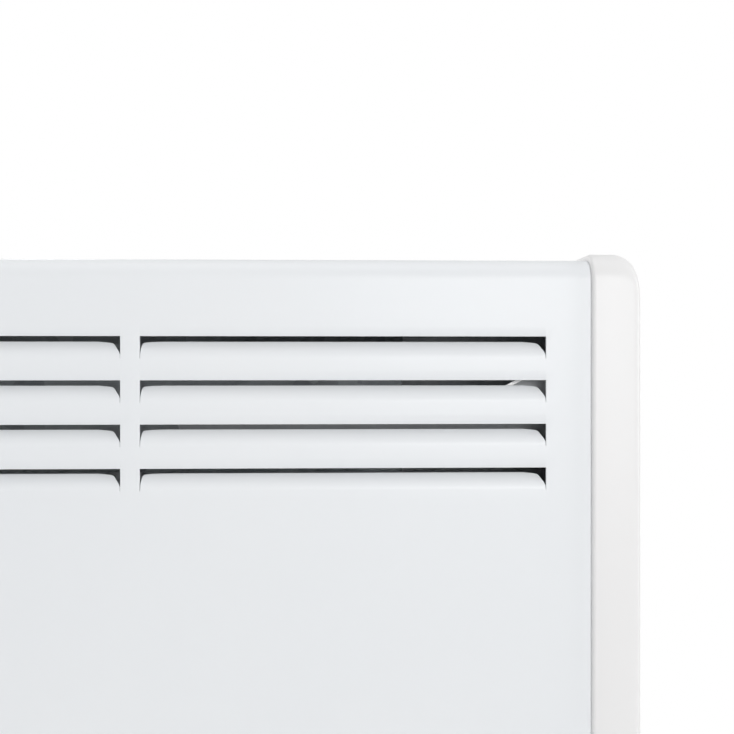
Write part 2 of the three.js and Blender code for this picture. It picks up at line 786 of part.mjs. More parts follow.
// A thermal cut-out clips to the shield above the element.
function thermalCutOut() {
  const seatY = shieldY - shieldSheet - fitGap;
  const profile = [
    [0, 0],
    [cutOutRadius, 0],
    [cutOutRadius, 1.2],
    [cutOutRadius - 1.3, 1.2],
    [cutOutRadius - 1.3, cutOutHeight - 1.5],
    [cutOutRadius - 3, cutOutHeight],
    [0, cutOutHeight],
  ];
  const button = turned(profile, "Y", [0, 0, 0], 12);
  const flange = block([-cutOutFlange, 0, -tabWidth], [cutOutFlange, 1, tabWidth]);
  const tab = (side) => {
    const x = (side * cutOutRadius) / 2;
    return block(
      [x - tabSheet / 2, cutOutHeight - partOverlap, -tabWidth / 2],
      [x + tabSheet / 2, cutOutHeight + switchTabReach, tabWidth / 2],
    );
  };
  const made = join(button, flange, tab(-1), tab(1));
  const z = elementRise + finHeight / 2 + cutOutAboveFins;
  return made.rotate([0, 0, 180]).translate([elementHalf / 2, seatY, z]);
}

addPiece(heater, "thermal_cut_out", thermalCutOut(), finish.darkPlastic);

// ---- Thermostat, knob, switch and lens ----------------------------------------------------------

const nutThickness = recessFloorX - capWall - sheetEndX - 2 * fitGap;
const thermostatX = plateWebX - fitGap;
const thermostatBackX = thermostatX - thermostatLength;

// Two flat connection tabs that stand out of a back face towards -X, one above the other.
function tabPair(backX, middleZ, spacing, reach) {
  return [-1, 1].map((side) => {
    const z = middleZ + (side * spacing) / 2;
    return block(
      [backX - reach, midY - tabWidth / 2, z - tabSheet / 2],
      [backX + partOverlap, midY + tabWidth / 2, z + tabSheet / 2],
    );
  });
}

function thermostatBody() {
  const low = [midY - thermostatDepth / 2, knobZ - thermostatHeight / 2];
  const high = [midY + thermostatDepth / 2, knobZ + thermostatHeight / 2];
  const box = extrudeX(roundedRectangle(low, high, 3), thermostatBackX, thermostatX);
  const collarLength = recessFloorX - fitGap - thermostatX;
  const collarAt = [thermostatX - partOverlap, midY, knobZ];
  const collar = bar(collarRadius, collarLength + partOverlap, "X", collarAt);
  const boreAt = [thermostatX - thermostatBore, midY, knobZ];
  const bore = bar(shaftRadius + fitGap, collarLength + thermostatBore + 1, "X", boreAt);
  const tabs = tabPair(thermostatBackX, knobZ, thermostatTabSpacing, thermostatTabReach);
  return cut(join(box, collar, ...tabs), bore);
}

function thermostatNut() {
  const across = collarRadius + nutFromCollar;
  const hexagon = new THREE.Shape(
    Array.from({ length: 6 }, (_, i) => {
      const angle = (i * Math.PI) / 3;
      return new THREE.Vector2(midY + across * Math.cos(angle), knobZ + across * Math.sin(angle));
    }),
  );
  const from = sheetEndX + fitGap;
  const thread = bar(collarRadius + fitGap, nutThickness + 2, "X", [from - 1, midY, knobZ], 16);
  return cut(extrudeX(hexagon, from, from + nutThickness), thread);
}

addPiece(heater, "thermostat_body", thermostatBody(), finish.darkPlastic);
addPiece(heater, "thermostat_nut", thermostatNut(), finish.steel);

const knob = new THREE.Group();
knob.position.set(recessFloorX, midY, knobZ);
heater.add(knob);

const shaftReach = knobHeight - shaftBelowTop;

function thermostatShaft() {
  const inward = recessFloorX - thermostatX + thermostatBore - 1;
  const rod = bar(shaftRadius, inward + shaftReach, "X", [-inward, 0, 0]);
  const flat = block(
    [fitGap + 2, -shaftRadius - 1, shaftRadius / 2],
    [shaftReach + 1, shaftRadius + 1, shaftRadius + 1],
  );
  return cut(rod, flat);
}

function thermostatKnob() {
  const profile = [
    [0, fitGap],
    [knobSkirtRadius - 0.4, fitGap],
    [knobSkirtRadius, fitGap + 0.4],
    [knobSkirtRadius - 0.3, fitGap + knobSkirtHeight],
    [knobGripRadius + 1, fitGap + knobSkirtHeight + 0.5],
    [knobGripRadius, fitGap + knobSkirtHeight + 1.5],
    [knobGripRadius - 0.7, knobHeight - 1],
    [knobGripRadius - 1.7, knobHeight],
    [0, knobHeight - 0.3],
  ];
  const fluteCentre = knobGripRadius + fluteRadius - fluteDepth;
  const flutes = Array.from({ length: fluteCount }, (_, i) => {
    const angle = ((i + 0.5) * 2 * Math.PI) / fluteCount;
    const at = [fitGap + knobSkirtHeight + 1, fluteCentre * Math.cos(angle), fluteCentre * Math.sin(angle)];
    return bar(fluteRadius, knobHeight, "X", at, 6);
  });
  const bore = bar(shaftRadius + fitGap, shaftReach + fitGap + 1, "X", [-1, 0, 0], 16);
  const pointer = block(
    [knobHeight - 1, -0.6, knobGripRadius * 0.45],
    [knobHeight + 1, 0.6, knobGripRadius + 1],
  );
  return cut(turned(profile, "X", [0, 0, 0]), ...flutes, bore, pointer);
}

addPiece(knob, "thermostat_shaft", thermostatShaft(), finish.steel);
addPiece(knob, "thermostat_knob", thermostatKnob(), finish.whitePlastic);

// The rocker turns on an axis along Y, just under the bezel's face.
const bezelX = recessFloorX + fitGap;
const bezelFaceX = bezelX + switchBezelHeight;
const rockerAxisX = bezelFaceX - rockerAxisDepth;
const switchBackX = bezelX - switchBodyDepth;

function switchHousing() {
  const shape = (grow, length, width, radius) => roundedRectangle(
    [midY - width / 2 - grow, switchZ - length / 2 - grow],
    [midY + width / 2 + grow, switchZ + length / 2 + grow],
    radius,
  );
  const bezelShape = shape(0, switchBezelLength, switchBezelWidth, 1.2);
  const bodyShape = shape(-switchBezelLedge, switchBezelLength, switchBezelWidth, 0.8);
  const pocketShape = shape(fitGap, rockerLength, rockerWidth, 0.4);
  const bezel = extrudeX(bezelShape, bezelX, bezelFaceX);
  const body = extrudeX(bodyShape, switchBackX, bezelX + partOverlap, 2);
  const pocket = extrudeX(pocketShape, rockerAxisX - rockerPocketDepth, bezelFaceX + 1, 2);
  const tabs = tabPair(switchBackX, switchZ, switchTabSpacing, switchTabReach);
  return cut(join(bezel, body, ...tabs), pocket);
}

addPiece(heater, "switch_housing", switchHousing(), finish.darkPlastic);

// The rocker's round ends share the axis, so it swings in its pocket with the same clearance at every angle.
function switchRocker() {
  const round = rockerLength / 2;
  const high = Math.asin(rockerLift / round);
  const low = Math.asin(rockerUnder / round);
  const shape = new THREE.Shape();
  shape.moveTo(-round * Math.cos(low), -rockerUnder);
  shape.lineTo(round * Math.cos(low), -rockerUnder);
  shape.absarc(0, 0, round, -low, high, false);
  shape.lineTo(0, rockerDip);
  shape.lineTo(-round * Math.cos(high), rockerLift);
  shape.absarc(0, 0, round, Math.PI - high, Math.PI + low, false);
  const settings = { depth: rockerWidth, bevelEnabled: false, curveSegments: 6 };
  const geometry = new THREE.ExtrudeGeometry(shape, settings);
  const turn = new THREE.Matrix4().set(0, 1, 0, 0, 0, 0, 1, -rockerWidth / 2, 1, 0, 0, 0, 0, 0, 0, 1);
  return solid(geometry.applyMatrix4(turn));
}

const rocker = new THREE.Group();
rocker.position.set(rockerAxisX, midY, switchZ);
rocker.rotation.y = THREE.MathUtils.degToRad(rockerRestTilt);
heater.add(rocker);
addPiece(rocker, "switch_rocker", switchRocker(), finish.whitePlastic);

function indicatorLens() {
  const inward = recessFloorX - sheetEndX + 6;
  const profile = [
    [0, -inward],
    [lensStemRadius, -inward],
    [lensStemRadius, fitGap],
    [lensRadius + 0.8, fitGap],
    [lensRadius + 0.8, fitGap + 0.6],
    [lensRadius * 0.8, fitGap + 1.7],
    [0, fitGap + 2.2],
  ];
  return turned(profile, "X", [0, 0, 0], 12);
}

addPiece(heater, "indicator_lens", indicatorLens(), finish.lens, [recessFloorX, midY, lensZ]);

// ---- Terminal block, earth screw, cable grommet and leads ---------------------------------------

const terminalSeatY = casingInnerY - fitGap;

function terminalBlock() {
  const half = (terminalPoles * terminalPole) / 2;
  const frontY = terminalSeatY - terminalDepth;
  const body = block(
    [terminalX - half, frontY, terminalRise - terminalHeight / 2],
    [terminalX + half, terminalSeatY, terminalRise + terminalHeight / 2],
  );
  const wells = Array.from({ length: terminalPoles }, (_, i) => {
    const x = terminalX + (i - (terminalPoles - 1) / 2) * terminalPole;
    return bar(terminalWellRadius, terminalWellDepth + 1, "Y", [x, frontY - 1, terminalRise], 12);
  });
  return cut(body, ...wells);
}

addPiece(heater, "terminal_block", terminalBlock(), finish.ceramic);

const earthScrew = screw(fitGap + casingSheet + 1, screwHeadRadius + earthWasher);
const earthScrewAt = [terminalX, terminalSeatY, earthScrewRise];
addPiece(heater, "earth_screw", earthScrew, finish.steel, earthScrewAt).rotation.x = Math.PI / 2;

// A blind grommet: its membrane stays closed until a cable is fitted.
function cableGrommet() {
  const flange = grommetNeckRadius + grommetFlange;
  const profile = [
    [0, 0],
    [grommetNeckRadius - 1.5, 0],
    [grommetNeckRadius - 1, -1.2],
    [flange, -1.2],
    [flange, -fitGap],
    [grommetNeckRadius, -fitGap],
    [grommetNeckRadius, casingSheet + fitGap],
    [flange, casingSheet + fitGap],
    [flange - 1, casingSheet + 3],
    [0, casingSheet + 3],
  ];
  return turned(profile, "Z", [grommetX, midY, casingInset], 12);
}

addPiece(heater, "cable_grommet", cableGrommet(), finish.rubber);

// An insulated lead through a list of points.
function lead(points, steps) {
  const circle = new THREE.Shape();
  circle.absarc(0, 0, leadRadius, 0, 2 * Math.PI, false);
  const places = points.map((point) => new THREE.Vector3(...point));
  const extrudePath = new THREE.CatmullRomCurve3(places, false, "centripetal");
  const settings = { steps, extrudePath, bevelEnabled: false, curveSegments: 3 };
  return solid(new THREE.ExtrudeGeometry(circle, settings));
}

// Places that the leads start from and end at, clear of the pieces there.
const leadClear = leadRadius + fitGap;
const leadTabClear = leadClear + tabSheet / 2 + 0.1;
const terminalTopZ = terminalRise + terminalHeight / 2 + fitGap;
const leadY = terminalSeatY - 5;
const switchLeadX = switchBackX - switchTabReach - fitGap;
const thermostatLeadX = thermostatBackX - thermostatTabReach - fitGap;
const elementPinX = rodEndX + endPinLength + fitGap;

const leadMains = lead(
  [
    [terminalX + terminalPole, leadY, terminalTopZ],
    [terminalX + terminalPole, leadY, terminalTopZ + 12],
    [switchLeadX - 3, midY + 24, knobZ],
    [switchLeadX - 4, midY + 10, switchZ - 12],
    [switchLeadX, midY, switchZ - switchTabSpacing / 2 - leadTabClear],
  ],
  18,
);
const leadSwitched = lead(
  [
    [switchLeadX, midY, switchZ + switchTabSpacing / 2 + leadTabClear],
    [switchLeadX - 8, midY, switchZ + switchTabSpacing / 2],
    [thermostatLeadX - 1, midY - 8, (switchZ + knobZ) / 2],
    [thermostatLeadX, midY - 3, knobZ + thermostatTabSpacing / 2 + leadTabClear],
  ],
  16,
);

// The return lead runs low along the whole length, in front of the shield, to the element's left end.
const runZ = shieldBottom + 4;
const runHalf = bracketX - 40;
const leadReturn = lead(
  [
    [terminalX - terminalPole, leadY, terminalTopZ],
    [terminalX - terminalPole - 1, leadY - 1, terminalTopZ + 6],
    [bracketX - 4, leadY - 13, runZ + 4],
    [runHalf, leadY - 11, runZ],
    [-runHalf, leadY - 11, runZ],
    [-bracketX - 8, leadY - 13, runZ + 4],
    [-elementPinX - 3, midY + 4, elementRise - 24],
    [-elementPinX - leadClear, midY, elementRise - leadClear],
  ],
  34,
);

addPiece(heater, "lead_mains_to_switch", leadMains, finish.redLead);
addPiece(heater, "lead_switch_to_thermostat", leadSwitched, finish.redLead);
addPiece(heater, "lead_return", leadReturn, finish.blueLead);

// ---- Hanging: hangers and tongues on the heater, bracket and clips on the wall ------------------

const hangerSeatY = casingBackY + fitGap;

function hanger(x) {
  const base = block(
    [x - hangerHalf, hangerSeatY, pivotRise - hangerBelowPin],
    [x + hangerHalf, hangerSeatY + cheekSheet, pivotRise + hangerAbovePin],
  );
  const cheekShape = new THREE.Shape();
  const tip = pinRadius + cheekAroundPin;
  cheekShape.moveTo(hangerSeatY, pivotRise - tip);
  cheekShape.lineTo(pivotBehind, pivotRise - tip);
  cheekShape.absarc(pivotBehind, pivotRise, tip, -Math.PI / 2, Math.PI / 2, false);
  cheekShape.lineTo(hangerSeatY, pivotRise + tip + 8);
  const cheek = (side) => {
    const middle = x + (side * hangerSpan) / 2;
    return extrudeX(cheekShape, middle - cheekSheet / 2, middle + cheekSheet / 2, 4);
  };
  const holeAt = [x - hangerHalf, pivotBehind, pivotRise];
  const hole = bar(pinRadius + fitGap, 2 * hangerHalf, "X", holeAt, 12);
  return cut(join(base, cheek(-1), cheek(1)), hole);
}

function hangerPin(x) {
  const half = uprightWidth / 2 + pinPastUpright;
  const profile = [
    [0, -half],
    [pinRadius - 0.5, -half],
    [pinRadius, -half + 0.5],
    [pinRadius, half - 0.5],
    [pinRadius - 0.5, half],
    [0, half],
  ];
  return turned(profile, "X", [x, pivotBehind, pivotRise], 12);
}

function latchTongue(x) {
  const base = block(
    [x - tongueWidth / 2, hangerSeatY, tongueRise - tongueSheet / 2],
    [x + tongueWidth / 2, hangerSeatY + tongueSheet, tongueRise + tongueBase],
  );
  const tongue = block(
    [x - tongueWidth / 2, hangerSeatY, tongueRise - tongueSheet / 2],
    [x + tongueWidth / 2, hangerSeatY + tongueReach, tongueRise + tongueSheet / 2],
  );
  return join(base, tongue);
}

for (const [end, side] of ends) {
  const x = (side * uprightSpacing) / 2;
  addPiece(heater, `hanger_${end}`, hanger(x), finish.zinc);
  addPiece(heater, `hanger_pin_${end}`, hangerPin(x), finish.steel);
  addPiece(heater, `latch_tongue_${end}`, latchTongue(x), finish.zinc);
}

// The wall bracket, in the product's own frame: an H pressed from one sheet, with two flanged uprights, a
// cross rail with holes for the wall screws, and a pair of ears with open notches at each upright's foot.
const pivotWallY = pivotBehind - wallGap;
const pivotWallZ = pivotRise - bodyHeight / 2;
const clipZ = tongueRise - bodyHeight / 2;

function wallBracket() {
  const uprightBottom = pivotWallZ - earRadius - uprightBelowEar;
  const uprightTop = clipZ + uprightAboveClip;
  const half = uprightSpacing / 2;
  const rail = extrudeY(
    roundedRectangle([-half, -railHeight / 2], [half, railHeight / 2], 1),
    -bracketSheet,
    0,
  );
  const railLips = [-1, 1].map((side) => block(
    [-half, -railLip, side > 0 ? railHeight / 2 - bracketSheet : -railHeight / 2],
    [half, -bracketSheet / 2, side > 0 ? railHeight / 2 : -railHeight / 2 + bracketSheet],
  ));
  const forms = [rail, ...railLips];
  const cuts = [];
  for (const [, side] of ends) {
    const x = side * half;
    const edge = uprightWidth / 2;
    forms.push(extrudeY(
      roundedRectangle([x - edge, uprightBottom], [x + edge, uprightTop], 3),
      -bracketSheet,
      0,
      1,
    ));
    for (const flank of [-1, 1]) {
      const from = x + flank * edge - (flank > 0 ? bracketSheet : 0);
      const flange = roundedRectangle(
        [-flangeDepth, pivotWallZ],
        [-bracketSheet / 2, uprightTop - 4],
        2,
      );
      const ear = new THREE.Shape();
      ear.moveTo(-bracketSheet / 2, pivotWallZ - earRadius - 2);
      ear.lineTo(-bracketSheet / 2, pivotWallZ + earRadius + 12);
      ear.lineTo(-flangeDepth, pivotWallZ + earRadius + 6);
      ear.lineTo(pivotWallY - earRadius, pivotWallZ + earRadius * 0.7);
      ear.absarc(pivotWallY, pivotWallZ, earRadius, Math.PI, Math.PI * 1.5, false);
      forms.push(extrudeX(flange, from, from + bracketSheet, 1));
      forms.push(extrudeX(ear, from, from + bracketSheet, 3));
    }
    const notch = pinRadius + fitGap;
    cuts.push(bar(notch, uprightWidth + 2, "X", [x - edge - 1, pivotWallY, pivotWallZ], 12));
    cuts.push(block(
      [x - edge - 1, pivotWallY - notch, pivotWallZ],
      [x + edge + 1, pivotWallY + notch, pivotWallZ + earRadius + 14],
    ));
    const rivetHole = bar(rivetRadius + fitGap, bracketSheet + 2, "Y", [x, -bracketSheet - 1, clipZ], 12);
    cuts.push(rivetHole);
    const holes = [[x, -uprightHoleRise], [x, uprightHoleRise], [(side * railHoleSpacing) / 2, 0]];
    for (const [holeX, holeZ] of holes) {
      cuts.push(bar(wallHoleRadius, bracketSheet + 2, "Y", [holeX, -bracketSheet - 1, holeZ], 12));
    }
  }
  return cut(join(...forms), ...cuts);
}

// A spring clip: a folded strip, open to the front, whose throat grips the tongue and whose lips flare to
// guide it in.
function snapClip(x) {
  const half = tongueSheet / 2 + fitGap;
  const backY = -bracketSheet - fitGap - clipSheet;
  const throatY = casingBackY - wallGap + tongueReach - 6;
  const bellyY = (backY + throatY) / 2;
  const belly = half + clipBelly;
  const points = [
    [throatY - 2.5, -half - 2],
    [throatY, -half],
    [bellyY, -belly],
    [backY, -belly],
    [backY, belly],
    [bellyY, belly],
    [throatY, half],
    [throatY - 2.5, half + 2],
  ].map(([y, z]) => new THREE.Vector2(y, clipZ + z));
  const stripHalf = tongueWidth / 2 + clipPastTongue;
  const strip = extrudeX(folded(points.reverse(), clipSheet), x - stripHalf, x + stripHalf);
  const hole = bar(rivetRadius + fitGap, 6, "Y", [x, backY - 2, clipZ], 12);
  return cut(strip, hole);
}

function clipRivet(x) {
  const gripY = -bracketSheet - fitGap - clipSheet - fitGap;
  const profile = [
    [0, gripY - 1],
    [rivetRadius, gripY - 1],
    [rivetRadius + 1, gripY],
    [rivetRadius, gripY],
    [rivetRadius, -fitGap],
    [0, -fitGap],
  ];
  return turned(profile, "Y", [x, 0, clipZ], 12);
}

addPiece(wallMount, "wall_bracket", wallBracket(), finish.zinc);
for (const [end, side] of ends) {
  const x = (side * uprightSpacing) / 2;
  addPiece(wallMount, `snap_clip_${end}`, snapClip(x), finish.steel);
  addPiece(wallMount, `clip_rivet_${end}`, clipRivet(x), finish.steel);
}

export default product;
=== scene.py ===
import json
import math

import bmesh
import bpy
from mathutils import Euler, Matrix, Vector


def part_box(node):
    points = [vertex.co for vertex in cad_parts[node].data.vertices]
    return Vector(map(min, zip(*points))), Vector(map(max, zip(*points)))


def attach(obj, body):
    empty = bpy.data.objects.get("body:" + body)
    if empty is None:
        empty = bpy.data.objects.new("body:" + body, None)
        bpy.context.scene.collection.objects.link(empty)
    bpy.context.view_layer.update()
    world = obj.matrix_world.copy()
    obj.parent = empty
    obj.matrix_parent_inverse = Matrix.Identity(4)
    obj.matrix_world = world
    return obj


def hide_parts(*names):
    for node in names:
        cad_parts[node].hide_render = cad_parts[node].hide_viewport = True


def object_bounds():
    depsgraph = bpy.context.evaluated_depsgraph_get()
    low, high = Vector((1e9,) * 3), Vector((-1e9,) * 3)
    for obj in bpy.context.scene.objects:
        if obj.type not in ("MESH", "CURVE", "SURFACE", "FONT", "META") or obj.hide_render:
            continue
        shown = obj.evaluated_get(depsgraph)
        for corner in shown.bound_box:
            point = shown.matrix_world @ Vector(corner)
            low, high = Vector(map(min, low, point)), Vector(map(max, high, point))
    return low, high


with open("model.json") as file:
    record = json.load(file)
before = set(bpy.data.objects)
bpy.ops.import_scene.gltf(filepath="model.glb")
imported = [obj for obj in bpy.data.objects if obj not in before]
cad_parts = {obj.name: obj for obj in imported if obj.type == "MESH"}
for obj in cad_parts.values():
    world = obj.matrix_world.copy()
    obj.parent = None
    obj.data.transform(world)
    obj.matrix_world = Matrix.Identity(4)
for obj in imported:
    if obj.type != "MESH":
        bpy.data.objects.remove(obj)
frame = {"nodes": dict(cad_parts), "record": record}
cad_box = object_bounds()

# Wall panel convector heater. Metres, +Z up, the front faces -Y and the wall is the plane y = 0.
MM = 0.001
TINY = 2e-6
X, Y, Z = range(3)

# ---- Driving sizes that the frame's boxes don't give ----

CORNER = 9 * MM  # the end caps' corners, seen from the end
PANEL_SHEET = 1 * MM
PANEL_BEND = 7 * MM
LOWER_RETURN = 13 * MM
EDGE_SOFTENING = 0.12 * MM

LOUVRE_COLUMNS = 4
LOUVRE_ROWS = 4
LOUVRE_LENGTH = 127.6 * MM
LOUVRE_COLUMN_GAP = 6 * MM
LOUVRE_ROW_PITCH = 13.8 * MM
LOUVRE_HEIGHT = 7 * MM
LOUVRE_DEPTH = 2.4 * MM  # less than the solid's, for the photograph's soft shading of the blades
LOUVRE_CURVE = 1.7  # the power of its height that a blade's way inwards follows
LOUVRE_SLIT = 1.7 * MM
LOUVRE_END_CUT = 0.15 * MM
# How many millimetres of a blade's height are missing, at places from its left end and from its right end.
LOUVRE_ENDS = [
    [(0, 3.4), (0.1, 2.4), (0.25, 1.5), (0.45, 0.8), (0.8, 0.42), (1.6, 0.26), (3.4, 0.1), (7, 0)],
    [(0, 3.9), (0.4, 3.1), (0.8, 2.5), (1.3, 1.85), (1.7, 1.25), (2.1, 0.8), (2.6, 0.5), (3.6, 0.3), (7, 0)],
]
LOUVRE_TOP_INSET = 24.6 * MM

CASING_SHEET = 0.8 * MM
CASING_BEND = 5.7 * MM
CASING_UPPER_FLANGE = 30 * MM
SLOT_COUNT = 37
SLOT_PITCH = 12 * MM
SLOT_WIDTH = 3.8 * MM
SLOT_LENGTH = 34 * MM
OPENING_LAND = 2 * MM  # of sheet around an opening in the cell that it is cut from
ROUND_END = 0.999  # of half an opening's width: the largest corner that keeps its two corners apart
RIB_WIDTH = 9 * MM
RIB_LENGTH = 249 * MM
RIB_SPACING = 64 * MM
RIB_PROUD = 1.5 * MM

GUARD_SETBACK = 8.7 * MM  # behind the panel's face
GUARD_DROP = 47.5 * MM  # of its lower part's top below the panel's top
GUARD_STEP = 13 * MM
GUARD_LENGTH = 131 * MM
GUARD_RAISED = 11.3 * MM  # length of its raised part's top
GUARD_SLANT = 25.2 * MM
GUARD_EDGE = 2.3 * MM
GUARD_EDGE_PROUD = 0.2 * MM
GUARD_LEAN = 13 * MM  # of its lower edge towards the back
GUARD_CLEARANCE = 0.2 * MM

CAP_WALL = 1.9 * MM
CAP_RIM_FILLET = 1.2 * MM
CAP_TOP_FILLET = 7.5 * MM
CAP_FACE_FILLET = 2.3 * MM

RECESS_WIDTH = 40 * MM
RECESS_HEIGHT = 114 * MM
RECESS_BOTTOM = 56 * MM
RECESS_DEPTH = 2.5 * MM
RECESS_LIP = 0.6 * MM
FACE_RING = 0.5 * MM  # of flat face kept around each opening and inside each fillet

KNOB_SKIRT = 14 * MM
KNOB_SKIRT_HEIGHT = 1.1 * MM  # up to the rounding of its edge
KNOB_SKIRT_DRAFT = 0.1 * MM
KNOB_SKIRT_ROUND = 0.5 * MM
KNOB_CHAMFER = 0.3 * MM
KNOB_GRIP = 12 * MM
KNOB_GRIP_FOOT = 1.7 * MM
KNOB_GRIP_DRAFT = 0.6 * MM
KNOB_WAIST = 1.2 * MM
KNOB_SHOULDER = 1.2 * MM  # of the grip's straight side, below the knob's top
KNOB_TOP_ROUND = 1.1 * MM
KNOB_CROWN = [(0.11 * MM, 9 * MM), (0.2 * MM, 5 * MM), (0.25 * MM, 1 * MM)]  # (below the top, radius)
KNOB_FLUTES = 10
FLUTE_DEPTHS = [0.9 * MM, 0.86 * MM, 0.72 * MM, 0.42 * MM]
FLUTE_FOOT = 2.5 * MM
FLUTE_REACH = 9.2 * MM  # the radius that the flutes end at
POINTER = (0.6 * MM, 1.1 * MM, 4.6 * MM)
POINTER_ROUND = 0.15 * MM
POINTER_SUNK = 0.3 * MM
POINTER_RADIUS = 7.2 * MM
DIAL_RADIUS = 17.1 * MM
DIAL_NUMBERS = 7
DIAL_STEP = 45  # degrees
DIAL_TEXT = 3.4 * MM
DIAL_DOT = 0.35 * MM
PRINT_HALF = 0.03 * MM  # half the thickness of print

BEZEL_THICKNESS = 1.6 * MM
BEZEL_RIM = 1 * MM  # of the bezel past the housing
BEZEL_ROUND = 0.5 * MM
HOUSING_DEPTH = 18 * MM
HOUSING_CORNER = 1.2 * MM
POCKET_FLOOR = 10 * MM  # from the housing's back
POCKET_CHAMFER = 0.3 * MM
TAB = (7 * MM, 5 * MM, 0.8 * MM)
TAB_SUNK = 0.1 * MM
TAB_OFFSET = 5 * MM
ROCKER_LENGTH = 16.8 * MM
ROCKER_WIDTH = 9.6 * MM
ROCKER_CLEARANCE = 0.3 * MM
ROCKER_ROUND = 0.5 * MM
ROCKER_AXIS = 1 * MM  # in front of the bezel's back
ROCKER_DIP = 2 * MM
ROCKER_SLOPE = 10.3  # degrees of each half of the rocker's face
ROCKER_REST_TILT = 10
MARK_OFFSET = 4.2 * MM
ON_BAR = (0.05 * MM, 0.45 * MM, 2.6 * MM)
OFF_RING_RADIUS = 1.15 * MM
OFF_RING_LINE = 0.2 * MM
OFF_RING_FLATNESS = 0.15

LENS_STEM = 2.5 * MM
LENS_RISE = 1.9 * MM  # of the dome's top over the flange's seat
LENS_FLANGE = 0.6 * MM
LENS_CHAMFER = 0.1 * MM
LENS_ROUND = 0.15 * MM
LENS_STEP = 0.8 * MM  # from the flange's edge in to the dome

SCREW_RADIUS = 1.75 * MM
SCREW_CLEARANCE = 0.3 * MM
SCREW_POINT = 0.3 * MM
SCREW_FULL_SHARE = 0.25  # of the shank, before it tapers
SCREW_HEAD_RADIUS = 3.5 * MM
SCREW_HEAD_HEIGHT = 2.2 * MM
SCREW_HEAD_EDGE = 0.15 * MM
SCREW_HEAD_CHAMFER = 0.1 * MM
SCREW_HEAD_ROUND = 1 * MM
CROSS_ARM = 0.42 * MM  # half an arm's width
CROSS_REACH = 2.1 * MM
CROSS_DEPTH = 1.3 * MM
CROSS_TAPER = 0.62

GROMMET_TAPER = (1.2 * MM, 1 * MM)  # down and in
GROMMET_GROOVE = 2.5 * MM
GROMMET_SHEET = (2 * MM, 0.9 * MM)  # the groove's top and bottom over the outer face
GROMMET_CHAMFER = 0.1 * MM
GROMMET_ROUND = 0.4 * MM
GROMMET_DISH = [(0, 0.6 * MM), (0.5 * MM, 1.1 * MM), (1.1 * MM, 1.6 * MM)]  # (over the outer face, in)
GROMMET_MEMBRANE = (1.2 * MM, 1 * MM)  # its middle's place over the outer face, and its radius

PIN_CHAMFER = 0.5 * MM
RIVET_HEAD = 1 * MM
RIVET_LIP = 1 * MM
RIVET_ROUND = 1.6  # how far the head's rounding reaches in, for each length that it rises
PRESSED_EDGE = 0.3 * MM
SPRING_EDGE = 0.15 * MM
FLOOR_DROP = 120 * MM


# ---- Modelling ----


def link(made):
    bpy.context.scene.collection.objects.link(made)


def choose(piece):
    """Makes a piece the only selected one, and the active one."""
    bpy.ops.object.select_all(action="DESELECT")
    piece.select_set(True)
    bpy.context.view_layer.objects.active = piece


def pick_all():
    bpy.ops.mesh.select_all(action="SELECT")


def align_faces():
    """Makes all faces agree, with those of closed forms facing outwards."""
    pick_all()
    bpy.ops.mesh.normals_make_consistent(inside=False)


def begin(name, primitive, **settings):
    """Adds a primitive as a new piece and opens it for editing, all selected, with its place in its mesh."""
    bpy.ops.object.select_all(action="DESELECT")
    primitive(**settings)
    piece = bpy.context.object
    piece.name = name
    piece.data.name = name
    bpy.ops.object.transform_apply(location=True, rotation=True, scale=True)
    bpy.ops.object.mode_set(mode="EDIT")
    pick_all()
    return piece


def open_mesh(name):
    """An empty piece, open for editing."""
    piece = bpy.data.objects.new(name, bpy.data.meshes.new(name))
    link(piece)
    choose(piece)
    bpy.ops.object.mode_set(mode="EDIT")
    return piece


def pick(kind, test, only_open=False):
    """Selects the vertices, edges or faces (or only the open edges) whose corners all pass a test."""
    bpy.ops.mesh.select_all(action="DESELECT")
    bpy.ops.mesh.select_mode(type=kind)
    mesh = bmesh.from_edit_mesh(bpy.context.object.data)
    parts = {"VERT": mesh.verts, "EDGE": mesh.edges, "FACE": mesh.faces}[kind]
    for part in parts:
        corners = [part] if kind == "VERT" else part.verts
        closed = only_open and len(part.link_faces) > 1
        if not closed and all(test(corner.co) for corner in corners):
            part.select_set(True)
    bmesh.update_edit_mesh(bpy.context.object.data)


def near(value, place):
    return abs(value - place) < TINY


def within(half, centre):
    """A test for places in a box that reaches half its size each way from its centre."""
    return lambda p: all(abs(p[k] - centre[k]) < half[k] + TINY for k in range(3))


def move(x, y, z):
    bpy.ops.transform.translate(value=(x, y, z))


def stretch(x, y, z, about=(0, 0, 0)):
    bpy.ops.transform.resize(value=(x, y, z), center_override=about)


def along(axis, way):
    """A step of a length along one axis."""
    step = [0, 0, 0]
    step[axis] = way
    return step


def extrude_edges(x, y, z):
    """Draws the selected edges out into new faces, and leaves the new edges selected."""
    bpy.ops.mesh.extrude_edges_move(TRANSFORM_OT_translate={"value": (x, y, z)})


def extrude_faces(x, y, z):
    """Draws the selected faces out, and leaves them selected at their new place."""
    bpy.ops.mesh.extrude_region_move(TRANSFORM_OT_translate={"value": (x, y, z)})


def score(axis, places, test=None):
    """Cuts edges right across the faces that pass a test wherever a coordinate has one of these values."""
    for place in places:
        pick("FACE", test or (lambda p: True))
        bpy.ops.mesh.bisect(plane_co=along(axis, place), plane_no=along(axis, 1), threshold=TINY)


def repeat(count, x, y, z):
    """Copies the selected part of the sheet count - 1 times, each a step further on."""
    for _ in range(count - 1):
        bpy.ops.mesh.duplicate_move(TRANSFORM_OT_translate={"value": (x, y, z)})


def weld():
    pick_all()
    bpy.ops.mesh.remove_doubles(threshold=TINY)


